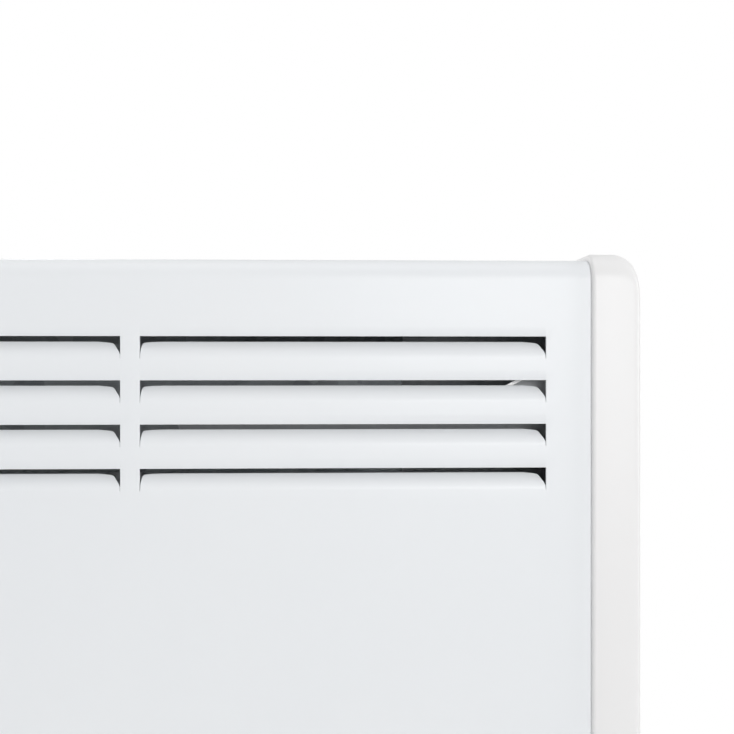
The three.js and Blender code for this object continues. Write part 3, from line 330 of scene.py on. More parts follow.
def face_outwards(piece, direction):
    """Makes the faces of an open sheet agree, with its widest one looking in a direction."""
    align_faces()
    mesh = bmesh.from_edit_mesh(piece.data)
    widest = max(mesh.faces, key=lambda face: face.calc_area())
    if widest.normal.dot(Vector(direction)) < 0:
        bpy.ops.mesh.flip_normals()


def modify(piece, kind, **settings):
    """Adds a modifier to a piece that isn't open for editing, and applies it."""
    made = piece.modifiers.new(kind.title(), kind)
    for name, value in settings.items():
        setattr(made, name, value)
    bpy.context.view_layer.objects.active = piece
    bpy.ops.object.modifier_apply(modifier=made.name)


def close_editing():
    bpy.ops.object.mode_set(mode="OBJECT")


def thicken(piece, thickness):
    """Gives an open sheet its thickness, away from the side that it faces."""
    modify(piece, "SOLIDIFY", thickness=thickness, offset=-1, use_even_offset=True)


def soften(piece, width, segments=2, angle=50):
    """Rounds the sharp edges of a piece."""
    modify(
        piece,
        "BEVEL",
        width=width,
        segments=segments,
        limit_method="ANGLE",
        angle_limit=math.radians(angle),
        use_clamp_overlap=True,
    )


def deliver(piece, slot, body, *nodes, smooth=32):
    """Shades a finished piece, gives it its finish, and sets it on its body in place of CAD nodes."""
    choose(piece)
    bpy.ops.object.shade_smooth_by_angle(angle=math.radians(smooth))
    piece.data.materials.clear()
    piece.data.materials.append(FINISHES[slot])
    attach(piece, body)
    if nodes:
        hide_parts(*nodes)


def settle(piece, place=(0, 0, 0), turn=(0, 0, 0)):
    """Takes a piece that was made at the origin to its place, and leaves that place in its mesh."""
    piece.location = place
    piece.rotation_euler = turn
    choose(piece)
    bpy.ops.object.transform_apply(location=True, rotation=True, scale=True)


def twin(piece, name):
    """A copy of a piece with a mesh of its own."""
    made = piece.copy()
    made.data = piece.data.copy()
    made.name = name
    made.data.name = name
    link(made)
    return made


# The turns that stand a flat primitive square to each axis.
FACING = {X: (0, math.pi / 2, 0), Y: (math.pi / 2, 0, 0), Z: (0, 0, 0)}


def outline(axis, centre, half, radius, segments):
    """Adds the outline of a rectangle with round corners, square to an axis."""
    bpy.ops.mesh.primitive_plane_add(size=1, location=centre, rotation=FACING[axis])
    stretch(*(1 if k == axis else 2 * half[k] for k in range(3)), about=centre)
    bpy.ops.mesh.bevel(offset=radius, offset_type="OFFSET", segments=segments, affect="VERTICES")
    bpy.ops.mesh.delete(type="ONLY_FACE")
    bpy.ops.mesh.select_mode(type="EDGE")
    bpy.ops.mesh.select_non_manifold(extend=False, use_wire=True, use_boundary=False)


def draw_rings(axis, outward, centre, half, rings):
    """Draws the selected outline on along an axis, ring by ring of (way, insets along the other two axes)."""
    reached, drawn = 0.0, (0.0, 0.0)
    others = [k for k in range(3) if k != axis]
    for way, *inset in rings:
        extrude_edges(*along(axis, outward * (way - reached)))
        scale = [1, 1, 1]
        for k, before, after in zip(others, drawn, inset):
            scale[k] = (half[k] - after) / (half[k] - before)
        stretch(*scale, about=centre)
        reached, drawn = way, inset


def quarter(radius, steps):
    """The places of a quarter round, as (way, inset), from its foot to its top."""
    turns = [i * math.pi / 2 / steps for i in range(1, steps + 1)]
    return [(radius * math.sin(a), radius * (1 - math.cos(a))) for a in turns]


def fill_between():
    """Fills the flat space between the selected loops."""
    bpy.ops.mesh.fill(use_beauty=True)


def turned(name, axis, centre, profile, segments=48):
    """A round piece, drawn out of a disc ring by ring of (way along the axis, radius)."""
    (start, first), *rest = profile
    at = Vector(centre) + Vector(along(axis, start))
    piece = begin(
        name,
        bpy.ops.mesh.primitive_circle_add,
        vertices=segments,
        radius=first,
        fill_type="NGON",
        location=at,
        rotation=FACING[axis],
    )
    bpy.ops.mesh.select_mode(type="FACE")
    reached, radius = start, first
    for way, next_radius in rest:
        extrude_faces(*along(axis, way - reached))
        scale = [next_radius / radius] * 3
        scale[axis] = 1
        stretch(*scale, about=centre)
        reached, radius = way, next_radius
    align_faces()
    return piece


def softened(node, slot, body, width, segments=2):
    """A CAD piece with the rounded edges that pressing or moulding leaves, in place of the sharp one."""
    source = frame["nodes"][node]
    piece = bpy.data.objects.new(f"finished_{node}", source.data.copy())
    link(piece)
    choose(piece)
    bpy.ops.object.mode_set(mode="EDIT")
    weld()
    bpy.ops.mesh.dissolve_limited(angle_limit=math.radians(1))
    close_editing()
    soften(piece, width, segments, angle=40)
    deliver(piece, slot, body, node, smooth=40)


# ---- Finishes ----


class Signal:
    """An output of a node tree. Arithmetic on signals and numbers adds Math nodes."""

    def __init__(self, tree, socket):
        self.tree = tree
        self.socket = socket

    def combine(self, operation, first, second):
        return self.tree.node("ShaderNodeMath", {"operation": operation}, {0: first, 1: second})

    def __add__(self, other):
        return self.combine("ADD", self, other)

    def __radd__(self, other):
        return self.combine("ADD", other, self)

    def __mul__(self, other):
        return self.combine("MULTIPLY", self, other)

    def __rmul__(self, other):
        return self.combine("MULTIPLY", other, self)


class Nodes:
    """A node tree under construction."""

    def __init__(self, tree):
        self.tree = tree

    def node(self, kind, settings=None, inputs=None, output=0):
        """Adds a node with its settings and the values or links of its sockets, and returns one output."""
        made = self.tree.nodes.new(kind)
        for name, value in (settings or {}).items():
            if name == "stops":
                self.set_stops(made.color_ramp, value)
            else:
                setattr(made, name, value)
        for name, value in (inputs or {}).items():
            self.feed(made.inputs[name], value)
        return Signal(self, made.outputs[output])

    def set_stops(self, ramp, stops):
        while len(ramp.elements) < len(stops):
            ramp.elements.new(1)
        for element, (place, value) in zip(ramp.elements, stops):
            element.position = place
            element.color = value if hasattr(value, "__len__") else (value, value, value, 1)

    def feed(self, socket, value):
        if isinstance(value, Signal):
            self.tree.links.new(value.socket, socket)
        else:
            socket.default_value = value

    def blend(self, share, first, second):
        """Mixes two colours."""
        return self.node("ShaderNodeMix", {"data_type": "RGBA"}, {0: share, 6: first, 7: second}, output=2)


class Finish(Nodes):
    """A material of one surface, with patterns that follow the piece's own coordinates."""

    def __init__(self, name, **constants):
        self.material = bpy.data.materials.new(name)
        self.material.use_nodes = True
        super().__init__(self.material.node_tree)
        self.surface = self.tree.nodes["Principled BSDF"]
        self.place = self.node("ShaderNodeTexCoord", output="Object")
        for name, value in constants.items():
            self.set(name.replace("_", " "), value)

    def set(self, name, value):
        self.feed(self.surface.inputs[name], value)

    def stretched(self, x, y, z):
        """The piece's coordinates, scaled differently along each axis."""
        return self.node("ShaderNodeMapping", None, {"Vector": self.place, "Scale": (x, y, z)})

    def noise(self, per_metre, detail=2.0, roughness=0.5, place=None):
        inputs = {"Vector": place or self.place, "Scale": per_metre, "Detail": detail, "Roughness": roughness}
        return self.node("ShaderNodeTexNoise", {"noise_dimensions": "3D"}, inputs, output="Fac")

    def cells(self, per_metre):
        """A random colour for each cell."""
        inputs = {"Vector": self.place, "Scale": per_metre}
        return self.node("ShaderNodeTexVoronoi", None, inputs, output="Color")

    def ramp(self, signal, *stops):
        return self.node("ShaderNodeValToRGB", {"stops": stops}, {"Fac": signal}, output="Color")

    def bump(self, height, depth, strength=0.5):
        """Raises the surface by a height signal of 0 to 1, depth metres at 1."""
        inputs = {"Height": height, "Distance": depth, "Strength": strength}
        self.set("Normal", self.node("ShaderNodeBump", None, inputs, output="Normal"))


def colour(red, green, blue):
    """A display colour of 0 to 255 as a shader colour."""
    shares = [value / 255 for value in (red, green, blue)]
    linear = [s / 12.92 if s <= 0.04045 else ((s + 0.055) / 1.055) ** 2.4 for s in shares]
    return (*linear, 1)


def panel_paint():
    """White powder coat: satin, with a faint orange peel and hardly any variation of tone."""
    made = Finish("panel_paint", Coat_Weight=0.12, Coat_Roughness=0.25)
    clouds = made.noise(11)
    peel = made.noise(520, roughness=0.55)
    grain = made.noise(2400, detail=1)
    made.set("Base Color", made.blend(clouds, colour(235, 238, 241), colour(239, 241, 243)))
    made.set("Roughness", 0.4 + 0.08 * grain + 0.04 * clouds)
    made.bump(0.7 * peel + 0.3 * grain, 0.02 * MM)
    return made.material


def cap_plastic():
    """White moulded plastic, a trace warmer than the panel, with a fine spark-eroded grain."""
    made = Finish("cap_plastic")
    clouds = made.noise(14)
    grain = made.noise(3200, roughness=0.6)
    made.set("Base Color", made.blend(clouds, colour(238, 238, 238), colour(241, 240, 240)))
    made.set("Roughness", 0.34 + 0.12 * grain)
    made.bump(grain, 0.012 * MM)
    return made.material


def back_paint():
    """Pale grey primer-like paint on the rear casing, a little uneven."""
    made = Finish("back_paint")
    clouds = made.noise(16, detail=3)
    grain = made.noise(900, detail=3, roughness=0.6)
    tone = made.blend(clouds, colour(206, 209, 212), colour(216, 219, 221))
    made.set("Base Color", made.blend(0.25 * grain, tone, colour(196, 199, 203)))
    made.set("Roughness", 0.5 + 0.15 * grain)
    made.bump(grain, 0.03 * MM)
    return made.material


def zinc_steel():
    """Hot-dip galvanised sheet: crystals of zinc that differ a little in tone and gloss."""
    made = Finish("zinc_steel", Metallic=0.9)
    crystals = made.ramp(made.cells(140), (0.0, 0.0), (1.0, 1.0))
    streaks = made.noise(60, detail=4, roughness=0.6)
    tone = made.blend(crystals, colour(150, 154, 158), colour(186, 190, 193))
    made.set("Base Color", made.blend(0.3 * streaks, tone, colour(128, 132, 136)))
    made.set("Roughness", 0.34 + 0.2 * streaks)
    made.bump(streaks, 0.03 * MM, 0.4)
    return made.material


def element_aluminium():
    """Pressed aluminium fins, brushed along their height and darkened a little by heat."""
    made = Finish("element_aluminium", Metallic=1.0)
    brushing = made.noise(900, detail=3, place=made.stretched(1, 1, 0.04))
    stains = made.noise(30, detail=3)
    tone = made.blend(brushing, colour(168, 170, 172), colour(202, 204, 205))
    made.set("Base Color", made.blend(0.4 * stains, tone, colour(150, 143, 132)))
    made.set("Roughness", 0.3 + 0.2 * brushing)
    made.bump(brushing, 0.02 * MM)
    return made.material


def bright_steel():
    """Zinc-plated turned and pressed steel, with fine tool marks."""
    made = Finish("bright_steel", Metallic=1.0)
    marks = made.noise(1500, detail=3, place=made.stretched(1, 1, 0.1))
    clouds = made.noise(120)
    made.set("Base Color", made.blend(clouds, colour(176, 179, 181), colour(203, 204, 203)))
    made.set("Roughness", 0.22 + 0.18 * marks)
    made.bump(marks, 0.01 * MM)
    return made.material


def ceramic_white():
    """Unglazed steatite: matt, off-white, slightly speckled."""
    made = Finish("ceramic_white")
    specks = made.ramp(made.noise(1800), (0.6, 0.0), (0.72, 1.0))
    made.set("Base Color", made.blend(0.4 * specks, colour(232, 228, 218), colour(196, 188, 172)))
    made.set("Roughness", 0.6 + 0.1 * specks)
    made.bump(made.noise(2200), 0.02 * MM)
    return made.material


def moulded(name, dark, light, roughness):
    """Moulded plastic or rubber with a fine grain."""
    made = Finish(name)
    grain = made.noise(2600, roughness=0.6)
    clouds = made.noise(90)
    made.set("Base Color", made.blend(clouds, dark, light))
    made.set("Roughness", roughness + 0.12 * grain)
    made.bump(grain, 0.015 * MM)
    return made.material


def lens_amber():
    """Amber plastic, a little uneven in colour, with faint ripples in its face."""
    made = Finish("lens_amber", IOR=1.49)
    ripples = made.noise(1400, detail=1)
    made.set("Base Color", made.blend(ripples, colour(196, 78, 18), colour(222, 104, 30)))
    made.set("Roughness", 0.12 + 0.08 * ripples)
    made.bump(ripples, 0.02 * MM, 0.4)
    return made.material


def lead_insulation(name, dark, light):
    """Silicone insulation: matt, with a slight drawn grain along it."""
    made = Finish(name)
    grain = made.noise(700, detail=3)
    made.set("Base Color", made.blend(grain, dark, light))
    made.set("Roughness", 0.5 + 0.15 * grain)
    made.bump(grain, 0.02 * MM)
    return made.material


FINISHES = {
    "panel_paint": panel_paint(),
    "cap_plastic": cap_plastic(),
    "back_paint": back_paint(),
    "zinc_steel": zinc_steel(),
    "element_aluminium": element_aluminium(),
    "bright_steel": bright_steel(),
    "ceramic_white": ceramic_white(),
    "dark_plastic": moulded("dark_plastic", colour(38, 40, 43), colour(48, 50, 53), 0.42),
    "control_plastic": moulded("control_plastic", colour(226, 226, 225), colour(233, 232, 231), 0.3),
    "black_rubber": moulded("black_rubber", colour(30, 31, 33), colour(40, 41, 43), 0.68),
    "lens_amber": lens_amber(),
    "print_grey": moulded("print_grey", colour(70, 73, 76), colour(78, 81, 84), 0.5),
    "lead_red": lead_insulation("lead_red", colour(132, 36, 28), colour(158, 50, 38)),
    "lead_blue": lead_insulation("lead_blue", colour(36, 66, 126), colour(48, 84, 150)),
}

for part in frame["record"]["subparts"]:
    node = frame["nodes"][part["node"]]
    node.data.materials.clear()
    node.data.materials.append(FINISHES[part["material_slot"]])


# ---- Front panel ----


def blade_place(share):
    """How far in and how high above its root a louvre blade is, at a share of its way from root to lip."""
    return LOUVRE_DEPTH * share**LOUVRE_CURVE, (LOUVRE_HEIGHT - LOUVRE_SLIT) * share


def louvred_front():
    """One louvre in its cell of sheet, copied over the panel, which is drawn out and folded at its edges."""
    low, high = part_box("front_panel")
    pitch = LOUVRE_LENGTH + LOUVRE_COLUMN_GAP
    land = LOUVRE_ROW_PITCH - LOUVRE_HEIGHT
    left = -LOUVRE_COLUMNS * pitch / 2
    slit = high.z - LOUVRE_TOP_INSET
    root = slit - LOUVRE_HEIGHT
    start = left + LOUVRE_COLUMN_GAP / 2
    end = start + LOUVRE_LENGTH
    piece = begin("louvred_front", bpy.ops.mesh.primitive_plane_add, size=1, rotation=FACING[Y])
    stretch(pitch, 1, LOUVRE_ROW_PITCH)
    move(left + pitch / 2, low.y, slit + land / 2 - LOUVRE_ROW_PITCH / 2)

    ends = []
    for edge, inward, trims in zip((start, end), (1, -1), LOUVRE_ENDS):
        ends += [(edge + inward * (LOUVRE_END_CUT + way * MM), trim * MM) for way, trim in trims]
    score(X, [start, end, *(column for column, trim in ends)])
    score(Z, [root, slit])
    pick("FACE", lambda p: start - TINY < p.x < end + TINY and root - TINY < p.z < slit + TINY)
    bpy.ops.mesh.delete(type="FACE")

    blade_start = start + LOUVRE_END_CUT - TINY
    blade_end = end - LOUVRE_END_CUT + TINY
    pick("EDGE", lambda p: near(p.z, root) and blade_start < p.x < blade_end)
    steps = 12
    inset, rise = blade_place(0)
    for step in range(1, steps + 1):
        next_inset, next_rise = blade_place(step / steps)
        extrude_edges(0, next_inset - inset, next_rise - rise)
        inset, rise = next_inset, next_rise
    for column, trim in ends:
        left_over = 1 - trim / rise
        pick("VERT", lambda p: near(p.x, column) and p.y > low.y + TINY)
        stretch(1, left_over**LOUVRE_CURVE, left_over, about=(column, low.y, root))

    pick_all()
    repeat(LOUVRE_COLUMNS, pitch, 0, 0)
    pick_all()
    repeat(LOUVRE_ROWS, 0, 0, -LOUVRE_ROW_PITCH)
    weld()

    foot = slit + land / 2 - LOUVRE_ROWS * LOUVRE_ROW_PITCH
    for side in (-1, 1):
        pick("EDGE", lambda p: near(p.x, side * -left))
        extrude_edges(side * (high.x + left), 0, 0)
    pick("EDGE", lambda p: near(p.z, slit + land / 2))
    extrude_edges(0, 0, high.z - PANEL_BEND - slit - land / 2)
    fold(low.y + PANEL_BEND, high.z - PANEL_BEND, 90)
    extrude_edges(0, high.y - low.y - PANEL_BEND, 0)
    pick("EDGE", lambda p: near(p.z, foot))
    extrude_edges(0, 0, low.z + PANEL_BEND - foot)
    fold(low.y + PANEL_BEND, low.z + PANEL_BEND, -90)
    extrude_edges(0, LOWER_RETURN - PANEL_BEND, 0)
    weld()
    face_outwards(piece, (0, -1, 0))
    close_editing()
    thicken(piece, PANEL_SHEET)
    soften(piece, EDGE_SOFTENING)
    deliver(piece, "panel_paint", "heater", "front_panel")


def fold(centre_y, centre_z, degrees, steps=12):
    """Folds the sheet on from the selected edge, round an axis along X."""
    bpy.ops.mesh.spin(
        steps=steps,
        angle=math.radians(degrees),
        center=(0, centre_y, centre_z),
        axis=(1, 0, 0),
    )


# ---- End caps ----


def fillet_inset(radius, before_face):
    """How far a fillet has drawn the outline in, at a distance before the face that it ends on."""
    if before_face >= radius:
        return 0.0
    return radius - math.sqrt(radius**2 - (radius - before_face) ** 2)


def end_cap(side):
    """A cap drawn out ring by ring from its rim, more rounded at top and bottom than at front and back."""
    name = f"{side}_end_cap"
    low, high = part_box(name)
    outward = 1 if side == "right" else -1
    seam_x = low.x if outward > 0 else high.x
    width = high.x - low.x
    middle = (low + high) / 2
    half = (high - low) / 2
    seam = (seam_x, middle.y, middle.z)
    piece = open_mesh(f"moulded_{name}")
    outline(X, seam, half, CORNER, segments=14)
    steps = 20
    before_face = [CAP_TOP_FILLET * (1 - math.sin(i * math.pi / 2 / steps)) for i in range(steps + 1)]
    rings = [
        (width - way, fillet_inset(CAP_FACE_FILLET, way), fillet_inset(CAP_TOP_FILLET, way))
        for way in before_face
    ]
    rings.append((width, CAP_FACE_FILLET + FACE_RING, CAP_TOP_FILLET + FACE_RING))
    draw_rings(X, outward, seam, half, rings)
    if side == "right":
        recess_into_face(high.x, middle.y, low.z)
    else:
        bpy.ops.mesh.edge_face_add()
    weld()
    face_outwards(piece, (outward, 0, 0))
    close_editing()
    thicken(piece, CAP_WALL)
    round_rim(seam_x, half, middle)
    deliver(piece, "cap_plastic", "heater", name)


def recess_into_face(face_x, middle_y, bottom_z):
    """Fills the cap's face up to the lip of the controls' recess, and sinks its wall and floor."""
    half = Vector((0, RECESS_WIDTH / 2 + RECESS_LIP, RECESS_HEIGHT / 2 + RECESS_LIP))
    centre = Vector((face_x, middle_y, bottom_z + RECESS_BOTTOM + RECESS_HEIGHT / 2))
    outer = half + Vector((0, FACE_RING, FACE_RING))
    outline(X, centre, outer, ROUND_END * outer.y, segments=16)
    pick("EDGE", lambda p: near(p.x, face_x), only_open=True)
    fill_between()
    pick("EDGE", lambda p: near(p.x, face_x), only_open=True)
    lip = [(way, inset) for inset, way in quarter(RECESS_LIP, 5)]
    wall = RECESS_DEPTH - RECESS_LIP
    foot = [(wall + way, RECESS_LIP + inset) for way, inset in quarter(RECESS_LIP, 5)]
    sunk = [(way, FACE_RING + inset) for way, inset in [(0, 0), *lip, (wall, RECESS_LIP), *foot]]
    draw_rings(X, -1, centre, outer, [(way, inset, inset) for way, inset in sunk])
    bpy.ops.mesh.edge_face_add()


def round_rim(seam_x, half, middle):
    """Rounds the outer edge of the cap's rim, where it meets the panel."""
    bpy.ops.object.mode_set(mode="EDIT")
    inner = [reach - CAP_WALL / 2 for reach in (half.y, half.z)]

    def on_outline(p):
        outside = abs(p.y - middle.y) > inner[0] or abs(p.z - middle.z) > inner[1]
        corner_y = abs(p.y - middle.y) - (half.y - CORNER)
        corner_z = abs(p.z - middle.z) - (half.z - CORNER)
        round_corner = min(corner_y, corner_z) > 0 and math.hypot(corner_y, corner_z) > CORNER - CAP_WALL / 2
        return near(p.x, seam_x) and (outside or round_corner)

    pick("EDGE", on_outline)
    bpy.ops.mesh.bevel(offset=CAP_RIM_FILLET, segments=5, affect="EDGES")
    close_editing()


# ---- Rear casing ----


def slotted_tray():
    """One air slot in its cell of sheet, copied along the underside, folded up the back and over its top."""
    low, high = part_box("rear_casing")
    back_y = high.y - RIB_PROUD
    cap_low, cap_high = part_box("right_end_cap")
    reach = SLOT_LENGTH / 2 + OPENING_LAND
    left = -SLOT_COUNT * SLOT_PITCH / 2
    centre = Vector((left + SLOT_PITCH / 2, (cap_low.y + cap_high.y) / 2, low.z))
    piece = begin("slotted_tray", bpy.ops.mesh.primitive_plane_add, size=1, location=centre)
    stretch(SLOT_PITCH, 2 * reach, 1, about=centre)
    bpy.ops.mesh.delete(type="ONLY_FACE")
    bpy.ops.mesh.primitive_circle_add(vertices=18, radius=SLOT_WIDTH / 2, location=centre)
    for end in (-1, 1):
        pick("VERT", lambda p: abs(p.x - centre.x) < SLOT_PITCH / 3 and end * (p.y - centre.y) > 0)
        move(0, end * (SLOT_LENGTH - SLOT_WIDTH) / 2, 0)
    pick_all()
    fill_between()
    pick_all()
    repeat(SLOT_COUNT, SLOT_PITCH, 0, 0)
    weld()

    pick("EDGE", lambda p: near(p.y, centre.y - reach))
    extrude_edges(0, low.y - centre.y + reach, 0)
    for side in (-1, 1):
        pick("EDGE", lambda p: near(p.x, side * -left))
        extrude_edges(side * (high.x + left), 0, 0)
    pick("EDGE", lambda p: near(p.y, centre.y + reach))
    extrude_edges(0, back_y - CASING_BEND - centre.y - reach, 0)
    fold(back_y - CASING_BEND, low.z + CASING_BEND, -90)
    extrude_edges(0, 0, high.z - low.z - 2 * CASING_BEND)
    fold(back_y - CASING_BEND, high.z - CASING_BEND, -90)
    extrude_edges(0, CASING_BEND - CASING_UPPER_FLANGE, 0)
    weld()
    for side in (-1, 1):
        press_rib(Vector((side * RIB_SPACING / 2, back_y, 0)))
    earth_low, earth_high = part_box("earth_screw")
    earth = (earth_low + earth_high) / 2
    hole = SCREW_RADIUS + SCREW_CLEARANCE
    cut_out(Vector((earth.x, back_y, earth.z)), Vector((hole, 0, hole)))
    weld()
    face_outwards(piece, (0, 1, 0))
    close_editing()
    thicken(piece, CASING_SHEET)
    soften(piece, EDGE_SOFTENING)
    deliver(piece, "back_paint", "heater", "rear_casing")


def cut_out(centre, half):
    """Cuts a round-ended hole in the flat back, and leaves its edge selected."""
    window = half + Vector((OPENING_LAND, 0, OPENING_LAND))

    def on_back(p):
        return near(p.y, centre.y)

    score(X, [centre.x - window.x, centre.x + window.x], on_back)
    score(Z, [centre.z - window.z, centre.z + window.z], on_back)
    pick("FACE", within(window, centre))
    bpy.ops.mesh.delete(type="FACE")
    bpy.ops.mesh.select_all(action="DESELECT")
    outline(Y, centre, half, ROUND_END * half.x, segments=8)
    pick("EDGE", within(window, centre), only_open=True)
    fill_between()
    pick("EDGE", within(window, centre), only_open=True)


def press_rib(centre):
    """Presses a round-ended stiffening rib out of the flat back."""
    rib = Vector((RIB_WIDTH / 2, 0, RIB_LENGTH / 2))
    cut_out(centre, rib)
    draw_rings(Y, 1, centre, rib, [(way, inset, inset) for way, inset in quarter(RIB_PROUD, 6)])
    bpy.ops.mesh.edge_face_add()


# ---- Guard behind the louvres ----


def louvre_guard():
    """A leaning strip of sheet behind the third row, raised behind the second one's end, its edge bright."""
    low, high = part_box("front_panel")
    wall_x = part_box("right_end_plate")[0].x - GUARD_CLEARANCE
    guard_y = low.y + GUARD_SETBACK
    top = high.z - GUARD_DROP
    piece = begin("louvre_guard", bpy.ops.mesh.primitive_plane_add, size=1, rotation=FACING[Y])
    stretch(GUARD_LENGTH, 1, GUARD_STEP)
    move(wall_x - GUARD_LENGTH / 2, guard_y, top - GUARD_STEP / 2)
    step_x = wall_x - GUARD_RAISED - GUARD_SLANT
    score(X, [step_x])
    pick("EDGE", lambda p: near(p.z, top) and p.x > step_x - TINY)
    extrude_edges(0, 0, GUARD_STEP)
    pick("VERT", lambda p: near(p.z, top + GUARD_STEP) and p.x < step_x + TINY)
    move(GUARD_SLANT, 0, 0)
    pick("VERT", lambda p: near(p.z, top - GUARD_STEP))
    move(0, GUARD_LEAN, 0)
    face_outwards(piece, (0, -1, 0))
    close_editing()
    thicken(piece, CASING_SHEET)
    deliver(piece, "back_paint", "heater")

    edge = begin("louvre_guard_edge", bpy.ops.mesh.primitive_plane_add, size=1, rotation=FACING[Y])
    stretch(GUARD_EDGE, 1, GUARD_STEP)
    move(step_x - GUARD_EDGE / 2, guard_y - GUARD_EDGE_PROUD, top + GUARD_STEP / 2)
    pick("VERT", lambda p: near(p.z, top + GUARD_STEP))
    move(GUARD_SLANT, 0, 0)
    face_outwards(edge, (0, -1, 0))
    close_editing()
    thicken(edge, CASING_SHEET)
    deliver(edge, "element_aluminium", "heater")


# ---- Controls ----


def fluted_knob():
    """A turned skirt and grip, with flutes pressed into the grip and a dark line let into its top."""
    low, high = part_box("thermostat_knob")
    middle = (low + high) / 2
    centre = Vector((low.x, middle.y, middle.z))
    height = high.x - low.x
    skirt_edge = KNOB_SKIRT - KNOB_SKIRT_DRAFT
    skirt = [(0, KNOB_SKIRT - KNOB_CHAMFER), (KNOB_CHAMFER, KNOB_SKIRT), (KNOB_SKIRT_HEIGHT, skirt_edge)]
    skirt += [(KNOB_SKIRT_HEIGHT + way, skirt_edge - inset) for way, inset in quarter(KNOB_SKIRT_ROUND, 4)]
    foot = KNOB_GRIP + KNOB_WAIST
    grip = [(KNOB_GRIP_FOOT, foot)]
    grip += [(KNOB_GRIP_FOOT + inset, foot - way) for way, inset in quarter(KNOB_WAIST, 6)]
    shoulder = height - KNOB_SHOULDER
    shoulder_radius = KNOB_GRIP - KNOB_GRIP_DRAFT
    grip += [(shoulder, shoulder_radius)]
    grip += [(shoulder + way, shoulder_radius - inset) for way, inset in quarter(KNOB_TOP_ROUND, 6)]
    crown = [(height - below, radius) for below, radius in KNOB_CROWN]
    per_flute = 16
    corners = KNOB_FLUTES * per_flute
    piece = turned("fluted_knob", X, centre, [*skirt, *grip, *crown], segments=corners)
    for step, depth in enumerate(FLUTE_DEPTHS):

        def in_flute(p):
            turn = math.atan2(p.z - centre.z, p.y - centre.y) / (2 * math.pi) * corners
            radius = math.hypot(p.y - centre.y, p.z - centre.z)
            in_grip = p.x > centre.x + FLUTE_FOOT and radius > FLUTE_REACH
            return in_grip and round(turn) % per_flute in (step, (per_flute - step) % per_flute)

        pick("VERT", in_flute)
        stretch(1, 1 - depth / KNOB_GRIP, 1 - depth / KNOB_GRIP, about=centre)
    close_editing()
    deliver(piece, "control_plastic", "knob", "thermostat_knob", smooth=40)

    line = begin("pointer_line", bpy.ops.mesh.primitive_cube_add, size=1)
    stretch(*POINTER)
    close_editing()
    soften(line, POINTER_ROUND)
    settle(line, (high.x - POINTER_SUNK, centre.y, centre.z + POINTER_RADIUS))
    deliver(line, "print_grey", "knob")


def flat_words(name, body, size):
    """Thin raised print of a character, centred on the origin and facing +X, as a mesh."""
    bpy.ops.object.select_all(action="DESELECT")
    bpy.ops.object.text_add()
    piece = bpy.context.object
    piece.name = name
    piece.data.body = body
    piece.data.size = size
    piece.data.extrude = PRINT_HALF
    piece.data.align_x = "CENTER"
    piece.data.align_y = "CENTER"
    bpy.ops.object.convert(target="MESH")
    settle(piece, turn=(math.pi / 2, 0, math.pi / 2))
    return piece


def dial():
    """Numbers and dots around the knob, printed on the recess's floor."""
    cap_low, cap_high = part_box("right_end_cap")
    knob_low, knob_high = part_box("thermostat_knob")
    centre = (knob_low + knob_high) / 2
    print_x = cap_high.x - RECESS_DEPTH + PRINT_HALF

    def on_dial(number):
        angle = math.radians(DIAL_STEP * ((DIAL_NUMBERS - 1) / 2 - number))
        return print_x, centre.y - DIAL_RADIUS * math.sin(angle), centre.z + DIAL_RADIUS * math.cos(angle)

    parts = []
    for number in range(DIAL_NUMBERS):
        piece = flat_words(f"dial_number_{number}", str(number), DIAL_TEXT)
        settle(piece, on_dial(number))
        parts.append(piece)
    for gap in range(DIAL_NUMBERS - 1):
        disc = [(-PRINT_HALF, DIAL_DOT), (PRINT_HALF, DIAL_DOT)]
        dot = turned(f"dial_dot_{gap}", X, (0, 0, 0), disc, segments=16)
        close_editing()
        settle(dot, on_dial(gap + 0.5))
        parts.append(dot)
    bpy.ops.object.select_all(action="DESELECT")
    for part in parts:
        part.select_set(True)
    bpy.context.view_layer.objects.active = parts[0]
    bpy.ops.object.join()
    parts[0].name = "dial_numbers"
    deliver(parts[0], "print_grey", "heater")


